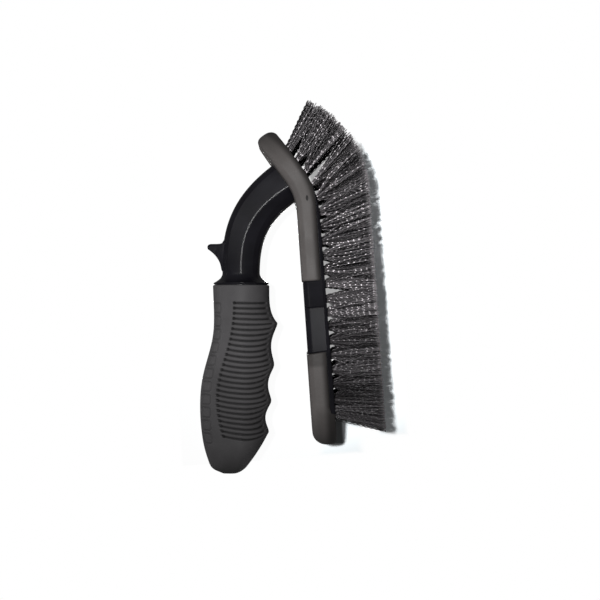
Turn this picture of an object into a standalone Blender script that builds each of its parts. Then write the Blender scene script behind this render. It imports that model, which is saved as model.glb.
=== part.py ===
"""Tire brush: a moulded body with a bent head and an arched arm, rubber pads, a rubber grip
and twenty rows of bristles.

The brush stands on its bristle tips in the plane z = 0. The head runs along X and its nose
turns up at +X. The arm springs from the nose, arches back over the head and carries the grip.
Both sides of the plane y = 0 are alike. All sizes are in metres, and angles in degrees.
"""

import math

import bmesh
import bpy
from mathutils import Matrix, Vector

# Clearance between a piece and the one that it seats on
GAP = 0.0003

# How far a shape that cuts stands past the face that it cuts
CUT_MARGIN = 0.0012

# Head: a flat block whose nose turns up
HEAD_WIDTH = 0.058
HEAD_THICKNESS = 0.0123
REAR_LENGTH = 0.1388
NOSE_LENGTH = 0.0324
BEND_X = 0.0548
BEND_RADIUS = 0.046
BEND_ANGLE = 32.2
PLAN_RADIUS = 0.026
BACK_EDGE_RADIUS = 0.004
REAR_BACK_RADIUS = 0.008
REAR_FACE_RADIUS = 0.0035
NOSE_BACK_RADIUS = 0.0035
NOSE_FACE_RADIUS = 0.0062
FOOT_BEVEL = 0.001
BACK_EDGE_SHARE = 0.45
FOOT_SHARE = 0.2
SIDE_SHARE = 0.9

# Rubber pads over the head, and the bare band of the body between them
PAD_WALL = 0.0018
END_WALL = 0.0068
WINDOW_FRONT_X = 0.0138
WINDOW_REAR_X = -0.0281
WINDOW_RECESS = 0.0006
WINDOW_SLANT = -0.18

# Rim of the body that shows below the pads
RIM_HEIGHT = 0.0035
RIM_INSET = 0.0001
RIM_LEDGE = 0.0004
RIM_REAR_MARGIN = 0.019
RIM_NOSE_MARGIN = 0.044
RIM_RAMP = 0.001

# Bristles: tufts in straight rows across the head
BRISTLE_LENGTH = 0.030
ROW_COUNT = 20
TUFTS_PER_ROW = 7
REAR_ROW_MARGIN = 0.0205
NOSE_ROW_MARGIN = 0.018
TUFT_RADIUS = 0.0022
TUFT_EDGE_MARGIN = 0.0036
STRANDS_PER_TUFT = 3
STRAND_SIDES = 3
STRAND_RING = 0.0015
STRAND_RADIUS = 0.00062
STRAND_ROOT = 0.0010
TRIM_START_X = 0.061
TRIM_RADIUS = 0.062

# Lean of the bristles from the face: upright at one place, more towards each end, and
# fanned out within a tuft and towards the head's sides
UPRIGHT_X = 0.005
REAR_LEAN = 21.0
REAR_LEAN_POWER = 4.0
NOSE_LEAN = 23.0
NOSE_LEAN_POWER = 1.5
TUFT_FAN = 3.0
SIDE_FAN = 7.25
FAN_SPREAD = 1.7

# Slice of the head's face that holds one row
SLICE_WIDTH = 0.0062
SLICE_THICKNESS = 0.0024
SLICE_END_STEPS = 6

# Arm: an arched bar with a ridge along each side
ARM_FOOT_X = 0.0739
ARM_FOOT_RISE = 0.0181
ARM_SINK = 0.008
ARM_FOOT_DEPTH = 0.0253
ARM_NECK_DEPTH = 0.0224
ARM_FOOT_WIDTH = 0.0250
ARM_NECK_WIDTH = 0.0224
ARM_FOOT_PULL = 0.026
ARM_NECK_PULL = 0.022
ARM_HOLE_SHARE = 0.3
NECK_LENGTH = 0.009

# Right half of the arm's section, as shares of its half depth and half width
ARM_SECTION = (
    (1.00, 0.30), (0.95, 0.58), (0.76, 0.83), (0.04, 1.00),
    (-0.06, 0.98), (-0.72, 0.80), (-0.93, 0.58), (-1.00, 0.30),
)

# Flare from the neck to the collar, as shares of the neck's length and of the growth
NECK_FLARE = ((0.38, 0.02), (0.65, 0.22), (0.87, 0.58), (1.0, 0.90))

# Thumb hook on the back of the arm
HOOK_WIDTH = 0.013
HOOK_EDGE = 0.0010
HOOK_REACH = 0.0201
HOOK_PLACE = 0.0231
HOOK_THICKNESS = 0.0018
HOOK_TOE_PLACE = 0.0084
HOOK_HOLLOW_PLACE = 0.0165
HOOK_HOLLOW_REACH = 0.0123
HOOK_SINK = 0.006
HOOK_FILLET = 0.001
HOOK_TIP_ROUND = 0.0014
HOOK_TIP_SLOPE = 0.0002
HOOK_HOLLOW_STEPS = 6

# Collar and grip: the grip's axis rises slightly towards its end
GRIP_X = 0.01467
GRIP_Z = 0.0787
GRIP_TILT = 4.0
COLLAR_DIAMETER = 0.0330
COLLAR_EDGE = 0.0012
COLLAR_BEVEL = 0.00045
GRIP_DIAMETER = 0.0338
GRIP_LENGTH = 0.1131
GRIP_WIDTH = 0.0350
SLEEVE_WALL = 0.0026
SLEEVE_END_WALL = 0.007
END_ROUND_SHARE = 0.55
END_FLAT_SHARE = 0.985

# Palm side of the grip, as shares of its length and of its radius
PALM_LINE = (
    (0.0, 1.0), (0.20, 0.965), (0.30, 1.04), (0.50, 1.38), (0.65, 1.455),
    (0.82, 1.36), (0.94, 1.14), (0.975, 0.98), (1.0, 0.62),
)

# Finger swells under the grip, measured back from the collar
SWELL_PLACES = (0.0228, 0.0480, 0.0696, 0.0882)
SWELL_FRONT = 0.0218
SWELL_REAR = 0.0166
SWELL_HOLLOW = 0.0027
SWELL_SHARPNESS = 0.8
FIRST_SWELL_POWER = 4
END_BULGE = 0.0011

# Ribs on both sides of the grip
RIB_COUNT = 27
RIB_START = 0.0107
RIB_PITCH = 0.00304
RIB_GROOVE_WIDTH = 0.0013
RIB_GROOVE_DEPTH = 0.0009
RIB_PALM_ANGLE = 78.0
RIB_PALM_SWEEP = 22.0
RIB_PALM_CENTRE = 0.065
RIB_PALM_REACH = 0.055
RIB_FINGER_ANGLE = 152.0
RIB_END_ANGLE = 3.0
RIB_STEPS = 4

# Ladder of shallow grooves along the palm side of the grip
LADDER_COUNT = 11
LADDER_START = 0.0138
LADDER_PITCH = 0.00774
LADDER_GROOVE_WIDTH = 0.0016
LADDER_GROOVE_DEPTH = 0.0006
LADDER_ANGLE = 42.0
LADDER_END_ANGLE = 5.0

# Steps of round stretches, and the least distance between two sections
BEND_STEPS = 6
END_STEPS = 8
EDGE_STEPS = 3
ARM_STEPS = 12
CORE_STEPS = 14
GRIP_END_STEPS = 7
GRIP_FRONT_PLACES = (0.0, 0.0012, 0.006)
HEAD_LEAST_STEP = 0.0003
GRIP_LEAST_STEP = 0.0002

# Colours, as red, green and blue of the surface
PLASTIC_COLOUR = (0.012, 0.012, 0.014)
RUBBER_COLOUR = (0.090, 0.086, 0.084)
BRISTLE_COLOUR = (0.045, 0.043, 0.045)

BEND_TURN = math.radians(BEND_ANGLE)
BEND_RUN = BEND_RADIUS * BEND_TURN
REAR_RUN = -REAR_LENGTH
NOSE_RUN = BEND_RUN + NOSE_LENGTH
WINDOW_FRONT = WINDOW_FRONT_X - BEND_X
WINDOW_REAR = WINDOW_REAR_X - BEND_X
RIM_MARKS = (
    REAR_RUN + RIM_REAR_MARGIN, REAR_RUN + RIM_REAR_MARGIN + RIM_RAMP,
    NOSE_RUN - RIM_NOSE_MARGIN - RIM_RAMP, NOSE_RUN - RIM_NOSE_MARGIN,
)


# Small helpers

def make_collection(name):
    collection = bpy.data.collections.new(name)
    bpy.context.scene.collection.children.link(collection)
    return collection


def make_material(name, colour, roughness, metallic=0.0):
    material = bpy.data.materials.new(name)
    material.use_nodes = True
    shader = material.node_tree.nodes["Principled BSDF"]
    shader.inputs["Base Color"].default_value = (*colour, 1.0)
    shader.inputs["Roughness"].default_value = roughness
    shader.inputs["Metallic"].default_value = metallic
    material.diffuse_color = (*colour, 1.0)
    return material


def add_object(name, mesh, collection, parent):
    piece = bpy.data.objects.new(name, mesh)
    collection.objects.link(piece)
    piece.parent = parent
    return piece


def finish_mesh(bm, name, sharp_angle=35.0):
    """Turn a bmesh into a mesh with outward faces and smooth round stretches."""
    bmesh.ops.recalc_face_normals(bm, faces=bm.faces)
    mesh = bpy.data.meshes.new(name)
    bm.to_mesh(mesh)
    bm.free()
    mesh.shade_smooth()
    mesh.set_sharp_from_angle(angle=math.radians(sharp_angle))
    return mesh


def loft(name, rings):
    """Mesh of a closed solid that passes through rings of points and ends in flat caps."""
    bm = bmesh.new()
    loops = [[bm.verts.new(point) for point in ring] for ring in rings]
    for first, second in zip(loops, loops[1:]):
        for index in range(len(first)):
            after = (index + 1) % len(first)
            bm.faces.new((first[index], first[after], second[after], second[index]))
    bm.faces.new(list(reversed(loops[0])))
    bm.faces.new(loops[-1])
    return finish_mesh(bm, name)


def as_tool(piece):
    """Mark an object as one that only shapes another."""
    piece.hide_render = True
    piece.display_type = "WIRE"
    return piece


def combine(piece, tool, operation):
    boolean = piece.modifiers.new(operation.lower() + " " + tool.name, "BOOLEAN")
    boolean.object = tool
    boolean.operation = operation
    boolean.solver = "EXACT"


def smooth_value(points, place):
    """Height of a smooth curve through points of rising place, level at neither end."""
    last = len(points) - 1
    if place <= points[0][0]:
        return points[0][1]
    if place >= points[last][0]:
        return points[last][1]
    index = max(i for i in range(last) if points[i][0] <= place)
    x0, y0 = points[index]
    x1, y1 = points[index + 1]
    before = points[max(index - 1, 0)]
    after = points[min(index + 2, last)]
    slope0 = (y1 - before[1]) / (x1 - before[0])
    slope1 = (after[1] - y0) / (after[0] - x0)
    span = x1 - x0
    t = (place - x0) / span
    return (
        y0 * (2 * t**3 - 3 * t**2 + 1)
        + slope0 * span * (t**3 - 2 * t**2 + t)
        + y1 * (3 * t**2 - 2 * t**3)
        + slope1 * span * (t**3 - t**2)
    )


# The head's own lines: a run along the bristle face, a height above it

def face_turn(run):
    """How far the face has turned up at a run, in radians."""
    return min(max(run / BEND_RADIUS, 0.0), BEND_TURN)


def head_point(run, side, height):
    turn = face_turn(run)
    along = Vector((math.cos(turn), 0.0, math.sin(turn)))
    up = Vector((-math.sin(turn), 0.0, math.cos(turn)))
    centre = Vector((BEND_X, 0.0, BRISTLE_LENGTH + BEND_RADIUS))
    past = run - turn * BEND_RADIUS
    point = centre - up * (BEND_RADIUS - height) + along * past
    return Vector((point.x, side, point.z))


def rounding(distance, radius):
    """How far a round corner is drawn in at a distance from the end that it rounds."""
    if distance >= radius:
        return 0.0
    reach = radius - max(distance, 0.0)
    return radius - math.sqrt(max(radius**2 - reach**2, 0.0))


def head_half_width(run):
    distance = min(run - REAR_RUN, NOSE_RUN - run)
    return HEAD_WIDTH / 2 - rounding(distance, PLAN_RADIUS)


def head_top(run):
    rear = rounding(run - REAR_RUN, REAR_BACK_RADIUS)
    nose = rounding(NOSE_RUN - run, NOSE_BACK_RADIUS)
    return HEAD_THICKNESS - rear - nose


def head_bottom(run):
    rear = rounding(run - REAR_RUN, REAR_FACE_RADIUS)
    nose = rounding(NOSE_RUN - run, NOSE_FACE_RADIUS)
    return rear + nose


def head_runs(start, end, extra=()):
    """Runs of the sections between two runs: close together where the head is round."""
    marks = [start, end, *extra]
    for step in range(1, END_STEPS + 1):
        distance = PLAN_RADIUS * (1 - math.cos(math.pi / 2 * step / END_STEPS))
        marks += [REAR_RUN + distance, NOSE_RUN - distance]
    marks += [BEND_RUN * step / BEND_STEPS for step in range(BEND_STEPS + 1)]
    kept = []
    for mark in sorted(mark for mark in marks if start <= mark <= end):
        if not kept or mark - kept[-1] > HEAD_LEAST_STEP or mark in extra:
            kept.append(mark)
    kept[-1] = end
    return kept


def round_corner(side, top, radius):
    """Points of the round edge between a side and the back, from the side to the back."""
    points = []
    for step in range(EDGE_STEPS + 1):
        angle = math.pi / 2 * step / EDGE_STEPS
        points.append((side - radius + radius * math.cos(angle),
                       top - radius + radius * math.sin(angle)))
    return points


def mirrored_ring(half, run, slant=0.0):
    """Ring of head points from the side and height of its right half."""
    outline = half + [(-side, height) for side, height in reversed(half)]
    lean = HEAD_THICKNESS / 2
    return [head_point(run + slant * (height - lean), side, height) for side, height in outline]


def outer_ring(run, slant=0.0):
    """Section of the finished head, over the pads."""
    side, low, top = head_half_width(run), head_bottom(run), head_top(run)
    radius = min(BACK_EDGE_RADIUS, BACK_EDGE_SHARE * (top - low), SIDE_SHARE * side)
    foot = min(FOOT_BEVEL, FOOT_SHARE * (top - low))
    half = [(side - foot, low), (side, low + foot)] + round_corner(side, top, radius)
    return mirrored_ring(half, run, slant)


def between(run, start, end, ramp):
    """1 inside a stretch and 0 outside it, with a ramp at both ends."""
    inside = min(run - start, end - run)
    return min(max(inside / ramp, 0.0), 1.0)


def body_ring(run, grow=0.0, depth=0.0):
    """Section of the body's block: a rim, and above it the part that the pads cover."""
    outer = head_half_width(run)
    rim = between(run, REAR_RUN + RIM_REAR_MARGIN, NOSE_RUN - RIM_NOSE_MARGIN, RIM_RAMP)
    side = outer - PAD_WALL
    rim_side = side + RIM_LEDGE + rim * (PAD_WALL - RIM_LEDGE - RIM_INSET)
    radius = BACK_EDGE_RADIUS - PAD_WALL
    top = head_top(run) - PAD_WALL
    half = [(rim_side + grow, -depth), (rim_side + grow, RIM_HEIGHT + grow),
            (side + grow, RIM_HEIGHT + grow)]
    half += round_corner(side + grow, top + grow, radius)
    return mirrored_ring(half, run)


def window_ring(run, slant):
    """Section of the bare band between the pads, which stands level with them."""
    side = HEAD_WIDTH / 2 - WINDOW_RECESS
    top = HEAD_THICKNESS - WINDOW_RECESS
    half = [(side, RIM_HEIGHT / 2)]
    half += round_corner(side, top, BACK_EDGE_RADIUS - WINDOW_RECESS)
    return mirrored_ring(half, run, slant)


# Bristle rows

def row_run(row):
    first = REAR_RUN + REAR_ROW_MARGIN
    last = NOSE_RUN - NOSE_ROW_MARGIN
    return first + (last - first) * row / (ROW_COUNT - 1)


def row_reach(row):
    """Distance of a row's outer tufts from the middle of the head."""
    return head_half_width(row_run(row)) - TUFT_EDGE_MARGIN - TUFT_RADIUS


def slice_mesh(row, grow=0.0, cut=0.0):
    """Bar with round ends that lies level with the head's face."""
    run = row_run(row)
    turn = face_turn(run)
    radius = SLICE_WIDTH / 2 + grow
    straight = row_reach(row) + TUFT_RADIUS - SLICE_WIDTH / 2
    rings = []
    for height in (-cut, SLICE_THICKNESS + grow):
        ring = []
        for end in (1, -1):
            for step in range(SLICE_END_STEPS + 1):
                angle = math.pi * step / SLICE_END_STEPS
                across = end * (straight + radius * math.sin(angle))
                ring.append((end * radius * math.cos(angle), across, height))
        rings.append(ring)
    mesh = loft("slice", rings)
    base = head_point(run, 0.0, 0.0)
    mesh.transform(Matrix.Translation(base) @ Matrix.Rotation(-turn, 4, "Y"))
    return mesh


def strand_lean(run):
    """Lean of a strand from the face's normal, forwards for plus, in radians."""
    forward = run + BEND_X - UPRIGHT_X
    if forward >= 0.0:
        share = min(forward / (BEND_X - UPRIGHT_X), 1.0)
        return math.radians(NOSE_LEAN) * share**NOSE_LEAN_POWER
    share = forward / (REAR_RUN + REAR_ROW_MARGIN + BEND_X - UPRIGHT_X)
    return -math.radians(REAR_LEAN) * share**REAR_LEAN_POWER


def strand_direction(run, side, fan_run, fan_side):
    """Heading of a strand whose root lies off its tuft's middle by shares of the ring."""
    spread = run + STRAND_RING * fan_run * FAN_SPREAD
    lean = strand_lean(spread) + math.radians(TUFT_FAN) * fan_run
    down = face_turn(spread) + lean
    outward = math.radians(SIDE_FAN * side / (HEAD_WIDTH / 2) + TUFT_FAN * fan_side)
    across = math.tan(outward) * math.cos(lean)
    return Vector((math.sin(down), across, -math.cos(down))).normalized()


def trimmed_end(point, direction):
    """Where a line through a point meets the trimmed face of the bristles."""
    flat = point - direction * (point.z / direction.z)
    if flat.x <= TRIM_START_X:
        return Vector((flat.x, flat.y, 0.0))
    centre = Vector((TRIM_START_X, 0.0, TRIM_RADIUS))
    start = Vector((point.x - centre.x, 0.0, point.z - centre.z))
    heading = Vector((direction.x, 0.0, direction.z))
    a = heading.dot(heading)
    b = start.dot(heading)
    c = start.dot(start) - TRIM_RADIUS**2
    return point + direction * ((-b + math.sqrt(b * b - a * c)) / a)


def add_strand(bm, root, direction):
    """Straight strand from a root inside the slice to the trimmed face."""
    across = direction.cross(Vector((0.0, 1.0, 0.0))).normalized()
    other = direction.cross(across).normalized()
    starts = []
    for corner in range(STRAND_SIDES):
        angle = 2 * math.pi * corner / STRAND_SIDES
        starts.append(root + across * (STRAND_RADIUS * math.cos(angle))
                      + other * (STRAND_RADIUS * math.sin(angle)))
    ends = [trimmed_end(start, direction) for start in starts]
    low = [bm.verts.new(point) for point in ends]
    high = [bm.verts.new(point) for point in starts]
    for corner in range(STRAND_SIDES):
        after = (corner + 1) % STRAND_SIDES
        bm.faces.new((low[corner], low[after], high[after], high[corner]))
    bm.faces.new(list(reversed(low)))
    bm.faces.new(high)


def strands_mesh(row):
    bm = bmesh.new()
    run = row_run(row)
    middle = head_point(run, 0.0, 0.0)
    for tuft in range(TUFTS_PER_ROW):
        side = row_reach(row) * (2 * tuft / (TUFTS_PER_ROW - 1) - 1)
        twist = math.pi / STRANDS_PER_TUFT * (tuft % 2)
        for strand in range(STRANDS_PER_TUFT):
            angle = 2 * math.pi * strand / STRANDS_PER_TUFT + twist
            fan_run, fan_side = math.cos(angle), math.sin(angle)
            root = head_point(run, side + STRAND_RING * fan_side, STRAND_ROOT)
            root += head_point(run + STRAND_RING * fan_run, 0.0, 0.0) - middle
            add_strand(bm, root, strand_direction(run, side, fan_run, fan_side))
    return finish_mesh(bm, "strands")


# Grip: sections square to its axis, by angle from the palm side

def grip_axis():
    tilt = math.radians(GRIP_TILT)
    back = Vector((-math.cos(tilt), 0.0, math.sin(tilt)))
    palm = Vector((math.sin(tilt), 0.0, math.cos(tilt)))
    return Vector((GRIP_X, 0.0, GRIP_Z)), back, palm


def end_share(place):
    """Share of the full section that is left in the round end of the grip."""
    start = GRIP_LENGTH - END_ROUND_SHARE * GRIP_WIDTH
    if place <= start:
        return 1.0
    reach = min((place - start) / (GRIP_LENGTH - start), END_FLAT_SHARE)
    return math.sqrt(1 - reach**2)


def palm_reach(place):
    """Distance of the palm side from the grip's axis."""
    return GRIP_DIAMETER / 2 * smooth_value(PALM_LINE, place / GRIP_LENGTH)


def finger_reach(place, core):
    """Distance of the finger side from the grip's axis; the core stays below the hollows."""
    first, last = SWELL_PLACES[0], SWELL_PLACES[-1]
    sink = SWELL_HOLLOW if core else 0.0
    front, rear = SWELL_FRONT - sink, SWELL_REAR - sink
    radius = GRIP_DIAMETER / 2
    if place < first:
        share = max(place / first, 0.0)
        return radius + (front - radius) * share**FIRST_SWELL_POWER
    if place > last:
        share = (place - last) / (GRIP_LENGTH - last)
        return rear * (1 - share) + END_BULGE * math.sin(math.pi * share)
    reach = front + (rear - front) * (place - first) / (last - first)
    if core:
        return reach
    start, end = [pair for pair in zip(SWELL_PLACES, SWELL_PLACES[1:]) if pair[0] <= place][-1]
    wave = math.sin(math.pi * min((place - start) / (end - start), 1.0))
    return reach - SWELL_HOLLOW * wave**SWELL_SHARPNESS


def grip_point(place, angle, inset=0.0, core=False):
    """Point on the grip at a place along it and an angle from the palm, in degrees."""
    origin, back, palm = grip_axis()
    turn = math.radians(angle)
    full = end_share(place)
    swell = math.sin(math.pi * min(max(place / GRIP_LENGTH, 0.0), 1.0))
    half_width = (GRIP_DIAMETER + (GRIP_WIDTH - GRIP_DIAMETER) * swell) / 2 * full
    top, bottom = palm_reach(place), -finger_reach(place, core)
    middle = (top + bottom) / 2 * (1 - full)
    reach = (top - middle) if angle <= 90 else (middle - bottom)
    rise = middle + (reach - inset) * math.cos(turn)
    side = (half_width - inset) * math.sin(turn)
    return origin + back * place + palm * rise + Vector((0.0, side, 0.0))


def rib_palm_angle(place):
    """Angle at which the ribs end on the palm side: they reach further round the swell."""
    share = min(max((place - RIB_PALM_CENTRE) / RIB_PALM_REACH, -1.0), 1.0)
    return RIB_PALM_ANGLE - RIB_PALM_SWEEP * math.cos(math.pi / 2 * share) ** 2


def groove_places(count, start, pitch, width):
    places = []
    for index in range(count):
        centre = start + index * pitch
        places += [centre - width / 2, centre, centre + width / 2]
    return places


def groove_depth(place, count, start, pitch, width, depth):
    """Depth of a row of V grooves at a place along the grip."""
    index = min(max(round((place - start) / pitch), 0), count - 1)
    distance = abs(place - (start + index * pitch))
    return depth * max(1 - 2 * distance / width, 0.0)


def sleeve_ring(place):
    palm_end = rib_palm_angle(place)
    step = (RIB_FINGER_ANGLE - palm_end - 2 * RIB_END_ANGLE) / RIB_STEPS
    rib = groove_depth(place, RIB_COUNT, RIB_START, RIB_PITCH, RIB_GROOVE_WIDTH, RIB_GROOVE_DEPTH)
    ladder = groove_depth(place, LADDER_COUNT, LADDER_START, LADDER_PITCH,
                          LADDER_GROOVE_WIDTH, LADDER_GROOVE_DEPTH)
    half = [(0.0, ladder), (LADDER_ANGLE / 2, ladder), (LADDER_ANGLE, ladder),
            (LADDER_ANGLE + LADDER_END_ANGLE, 0.0), (palm_end, 0.0)]
    half += [(palm_end + RIB_END_ANGLE + step * index, rib) for index in range(RIB_STEPS + 1)]
    half += [(RIB_FINGER_ANGLE, 0.0), (180.0, 0.0)]
    ring = [grip_point(place, angle, inset) for angle, inset in half]
    for point in reversed(ring[1:-1]):
        ring.append(Vector((point.x, -point.y, point.z)))
    return ring


def sleeve_places():
    marks = list(GRIP_FRONT_PLACES)
    marks += groove_places(RIB_COUNT, RIB_START, RIB_PITCH, RIB_GROOVE_WIDTH)
    marks += groove_places(LADDER_COUNT, LADDER_START, LADDER_PITCH, LADDER_GROOVE_WIDTH)
    last = max(marks)
    for step in range(1, GRIP_END_STEPS + 1):
        marks.append(last + (GRIP_LENGTH - last) * math.sin(math.pi / 2 * step / GRIP_END_STEPS))
    kept = []
    for mark in sorted(marks):
        if mark > GRIP_LENGTH:
            break
        if not kept or mark - kept[-1] > GRIP_LEAST_STEP:
            kept.append(mark)
    return kept


def core_ring(place, inset, points):
    """Smooth section inside the grip, with its points at even angles."""
    ring = []
    for index in range(points):
        angle = 360.0 * (index + 0.5) / points
        folded = angle if angle <= 180 else 360 - angle
        point = grip_point(place, folded, inset, True)
        ring.append(Vector((point.x, point.y if angle <= 180 else -point.y, point.z)))
    return ring


def core_places():
    """Places of the sections that the tang and the grip's bore share."""
    last = GRIP_LENGTH - SLEEVE_END_WALL
    return [last * index / CORE_STEPS for index in range(1, CORE_STEPS + 1)]


# Arm: a shield-shaped section along an arched path

def arm_path(share):
    """Centre and outward direction of the arm at a share of its arch."""
    turn = BEND_TURN
    foot = Vector((ARM_FOOT_X, 0.0, BRISTLE_LENGTH + ARM_FOOT_RISE))
    foot_heading = Vector((-math.sin(turn), 0.0, math.cos(turn)))
    origin, back, _ = grip_axis()
    neck = origin - back * NECK_LENGTH
    points = (foot, foot + foot_heading * ARM_FOOT_PULL, neck - back * ARM_NECK_PULL, neck)
    left = 1 - share
    weights = (left**3, 3 * left**2 * share, 3 * left * share**2, share**3)
    centre = sum((point * weight for point, weight in zip(points, weights)), Vector())
    slopes = (-3 * left**2, 3 * left * (1 - 3 * share), 3 * share * (2 - 3 * share), 3 * share**2)
    heading = sum((point * slope for point, slope in zip(points, slopes)), Vector()).normalized()
    return centre, heading


def arm_ring(centre, heading, depth, width, roundness=0.0, grow=0.0):
    """Section square to a heading: a shield shape that can turn into a circle."""
    outward = Vector((heading.z, 0.0, -heading.x))
    count = len(ARM_SECTION)
    half = []
    for index, (out, side) in enumerate(ARM_SECTION):
        angle = math.pi * (index + 0.5) / count
        out = out + (math.cos(angle) - out) * roundness
        side = side + (math.sin(angle) - side) * roundness
        half.append((out * (depth / 2 + grow), side * (width / 2 + grow)))
    outline = half + [(out, -side) for out, side in reversed(half)]
    return [centre + outward * out + Vector((0.0, side, 0.0)) for out, side in outline]


def arm_rings(grow=0.0, last=1.0):
    """Sections of the arm from inside the head up to a share of its arch."""
    start, heading = arm_path(0.0)
    sunk = start - heading * ARM_SINK
    rings = [arm_ring(sunk, heading, ARM_FOOT_DEPTH, ARM_FOOT_WIDTH, grow=grow)]
    for step in range(ARM_STEPS + 1):
        share = step / ARM_STEPS
        if share > last:
            break
        centre, heading = arm_path(share)
        depth = ARM_FOOT_DEPTH + (ARM_NECK_DEPTH - ARM_FOOT_DEPTH) * share
        width = ARM_FOOT_WIDTH + (ARM_NECK_WIDTH - ARM_FOOT_WIDTH) * share
        rings.append(arm_ring(centre, heading, depth, width, grow=grow))
    return rings


def collar_rings():
    """Sections of the neck's flare and of the collar's round edge."""
    origin, back, _ = grip_axis()
    rings = []
    edge = GAP + COLLAR_EDGE
    for along, share in NECK_FLARE:
        place = -NECK_LENGTH + (NECK_LENGTH - edge) * along
        depth = ARM_NECK_DEPTH + (COLLAR_DIAMETER - ARM_NECK_DEPTH) * share
        width = ARM_NECK_WIDTH + (COLLAR_DIAMETER - ARM_NECK_WIDTH) * share
        rings.append(arm_ring(origin + back * place, back, depth, width, share))
    for place in (-edge + COLLAR_BEVEL, -GAP):
        rings.append(arm_ring(origin + back * place, back, COLLAR_DIAMETER, COLLAR_DIAMETER, 1.0))
    return rings


def tang_rings():
    places = [-GAP] + core_places()
    places[-1] -= GAP
    return [core_ring(place, SLEEVE_WALL + GAP, 2 * len(ARM_SECTION)) for place in places]


def bore_rings():
    places = [-SLEEVE_WALL] + core_places()
    return [core_ring(place, SLEEVE_WALL, 2 * len(ARM_SECTION)) for place in places]


def hook_outline():
    """Thumb hook in the grip's plane: a level front, a blunt tip and a hollow rear edge."""
    origin, back, palm = grip_axis()
    surface = ARM_NECK_DEPTH / 2
    front = -HOOK_PLACE - HOOK_TIP_ROUND
    tip = (-HOOK_PLACE + HOOK_THICKNESS, HOOK_REACH - HOOK_TIP_SLOPE)
    toe = (-HOOK_TOE_PLACE, surface + HOOK_TIP_SLOPE)
    hollow = (-HOOK_HOLLOW_PLACE, HOOK_HOLLOW_REACH)
    outline = [
        (front - 2 * HOOK_FILLET, surface - HOOK_SINK),
        (front - 2 * HOOK_FILLET, surface - HOOK_FILLET),
        (front, surface + HOOK_FILLET),
        (front, HOOK_REACH - HOOK_TIP_ROUND),
        (-HOOK_PLACE, HOOK_REACH),
        tip,
    ]
    for step in range(1, HOOK_HOLLOW_STEPS):
        share = step / HOOK_HOLLOW_STEPS
        outline.append(tuple(
            a * (1 - share) ** 2 + b * 2 * share * (1 - share) + c * share**2
            for a, b, c in zip(tip, hollow, toe)
        ))
    outline += [toe, (-HOOK_TOE_PLACE, surface - HOOK_SINK)]
    return [origin + back * place + palm * reach for place, reach in outline]


def hook_mesh():
    """The hook's outline across the arm, with its edges drawn in at both sides."""
    outline = hook_outline()
    centre = sum(outline, Vector()) / len(outline)
    half = HOOK_WIDTH / 2
    flat = half - HOOK_EDGE
    rings = []
    for side, inset in ((-half, HOOK_EDGE), (-flat, 0.0), (flat, 0.0), (half, HOOK_EDGE)):
        ring = []
        for point in outline:
            moved = point + (centre - point).normalized() * inset
            ring.append(Vector((moved.x, side, moved.z)))
        rings.append(ring)
    return loft("hook", rings)


# The pieces

def make_body(parts, tools, origin):
    """The one moulding: block, bare band, arm with its collar and tang, and thumb hook."""
    runs = head_runs(REAR_RUN + END_WALL, NOSE_RUN - END_WALL, RIM_MARKS)
    block = loft("brush_body", [body_ring(run) for run in runs])
    body = add_object("brush_body", block, parts, origin)
    rings = [window_ring(WINDOW_REAR + GAP, WINDOW_SLANT), window_ring(WINDOW_FRONT - GAP, 0.0)]
    window = add_object("window_band", loft("window_band", rings), tools, origin)
    arm = add_object("arm", loft("arm", arm_rings() + collar_rings() + tang_rings()), tools, origin)
    hook = add_object("thumb_hook", hook_mesh(), tools, origin)
    for tool in (window, arm, hook):
        combine(body, as_tool(tool), "UNION")
    slots = bmesh.new()
    for row in range(ROW_COUNT):
        mesh = slice_mesh(row, GAP, CUT_MARGIN)
        slots.from_mesh(mesh)
        bpy.data.meshes.remove(mesh)
    slots = add_object("row_slots", finish_mesh(slots, "row_slots"), tools, origin)
    combine(body, as_tool(slots), "DIFFERENCE")
    return body


def make_pad(name, start, end, slant, cavity, parts, tools, origin):
    """Rubber pad over the head between two runs, hollowed to fit over the body."""
    rings = []
    for run in head_runs(start, end):
        at_window = slant if run in (start, end) and REAR_RUN < run < NOSE_RUN else 0.0
        rings.append(outer_ring(run, at_window))
    pad = add_object(name, loft(name, rings), parts, origin)
    combine(pad, cavity, "DIFFERENCE")
    return pad


def make_pads(parts, tools, origin):
    first = REAR_RUN + END_WALL - GAP
    last = NOSE_RUN - END_WALL + GAP
    rings = [body_ring(run, GAP, CUT_MARGIN) for run in head_runs(first, last, RIM_MARKS)]
    cavity = as_tool(add_object("pad_cavity", loft("pad_cavity", rings), tools, origin))
    front = make_pad("front_pad", WINDOW_FRONT, NOSE_RUN, 0.0, cavity, parts, tools, origin)
    rear = make_pad("rear_pad", REAR_RUN, WINDOW_REAR, WINDOW_SLANT, cavity, parts, tools, origin)
    mesh = loft("arm_hole", arm_rings(GAP, ARM_HOLE_SHARE))
    hole = as_tool(add_object("arm_hole", mesh, tools, origin))
    combine(front, hole, "DIFFERENCE")
    return [front, rear]


def make_sleeve(parts, tools, origin):
    rings = [sleeve_ring(place) for place in sleeve_places()]
    sleeve = add_object("grip_sleeve", loft("grip_sleeve", rings), parts, origin)
    bore = as_tool(add_object("grip_bore", loft("grip_bore", bore_rings()), tools, origin))
    combine(sleeve, bore, "DIFFERENCE")
    return sleeve


def make_row(row, parts, tools, origin):
    name = f"tuft_row_{row + 1:02d}"
    piece = add_object(name, slice_mesh(row), parts, origin)
    strands = as_tool(add_object(f"strands_{row + 1:02d}", strands_mesh(row), tools, origin))
    combine(piece, strands, "UNION")
    return piece


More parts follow.
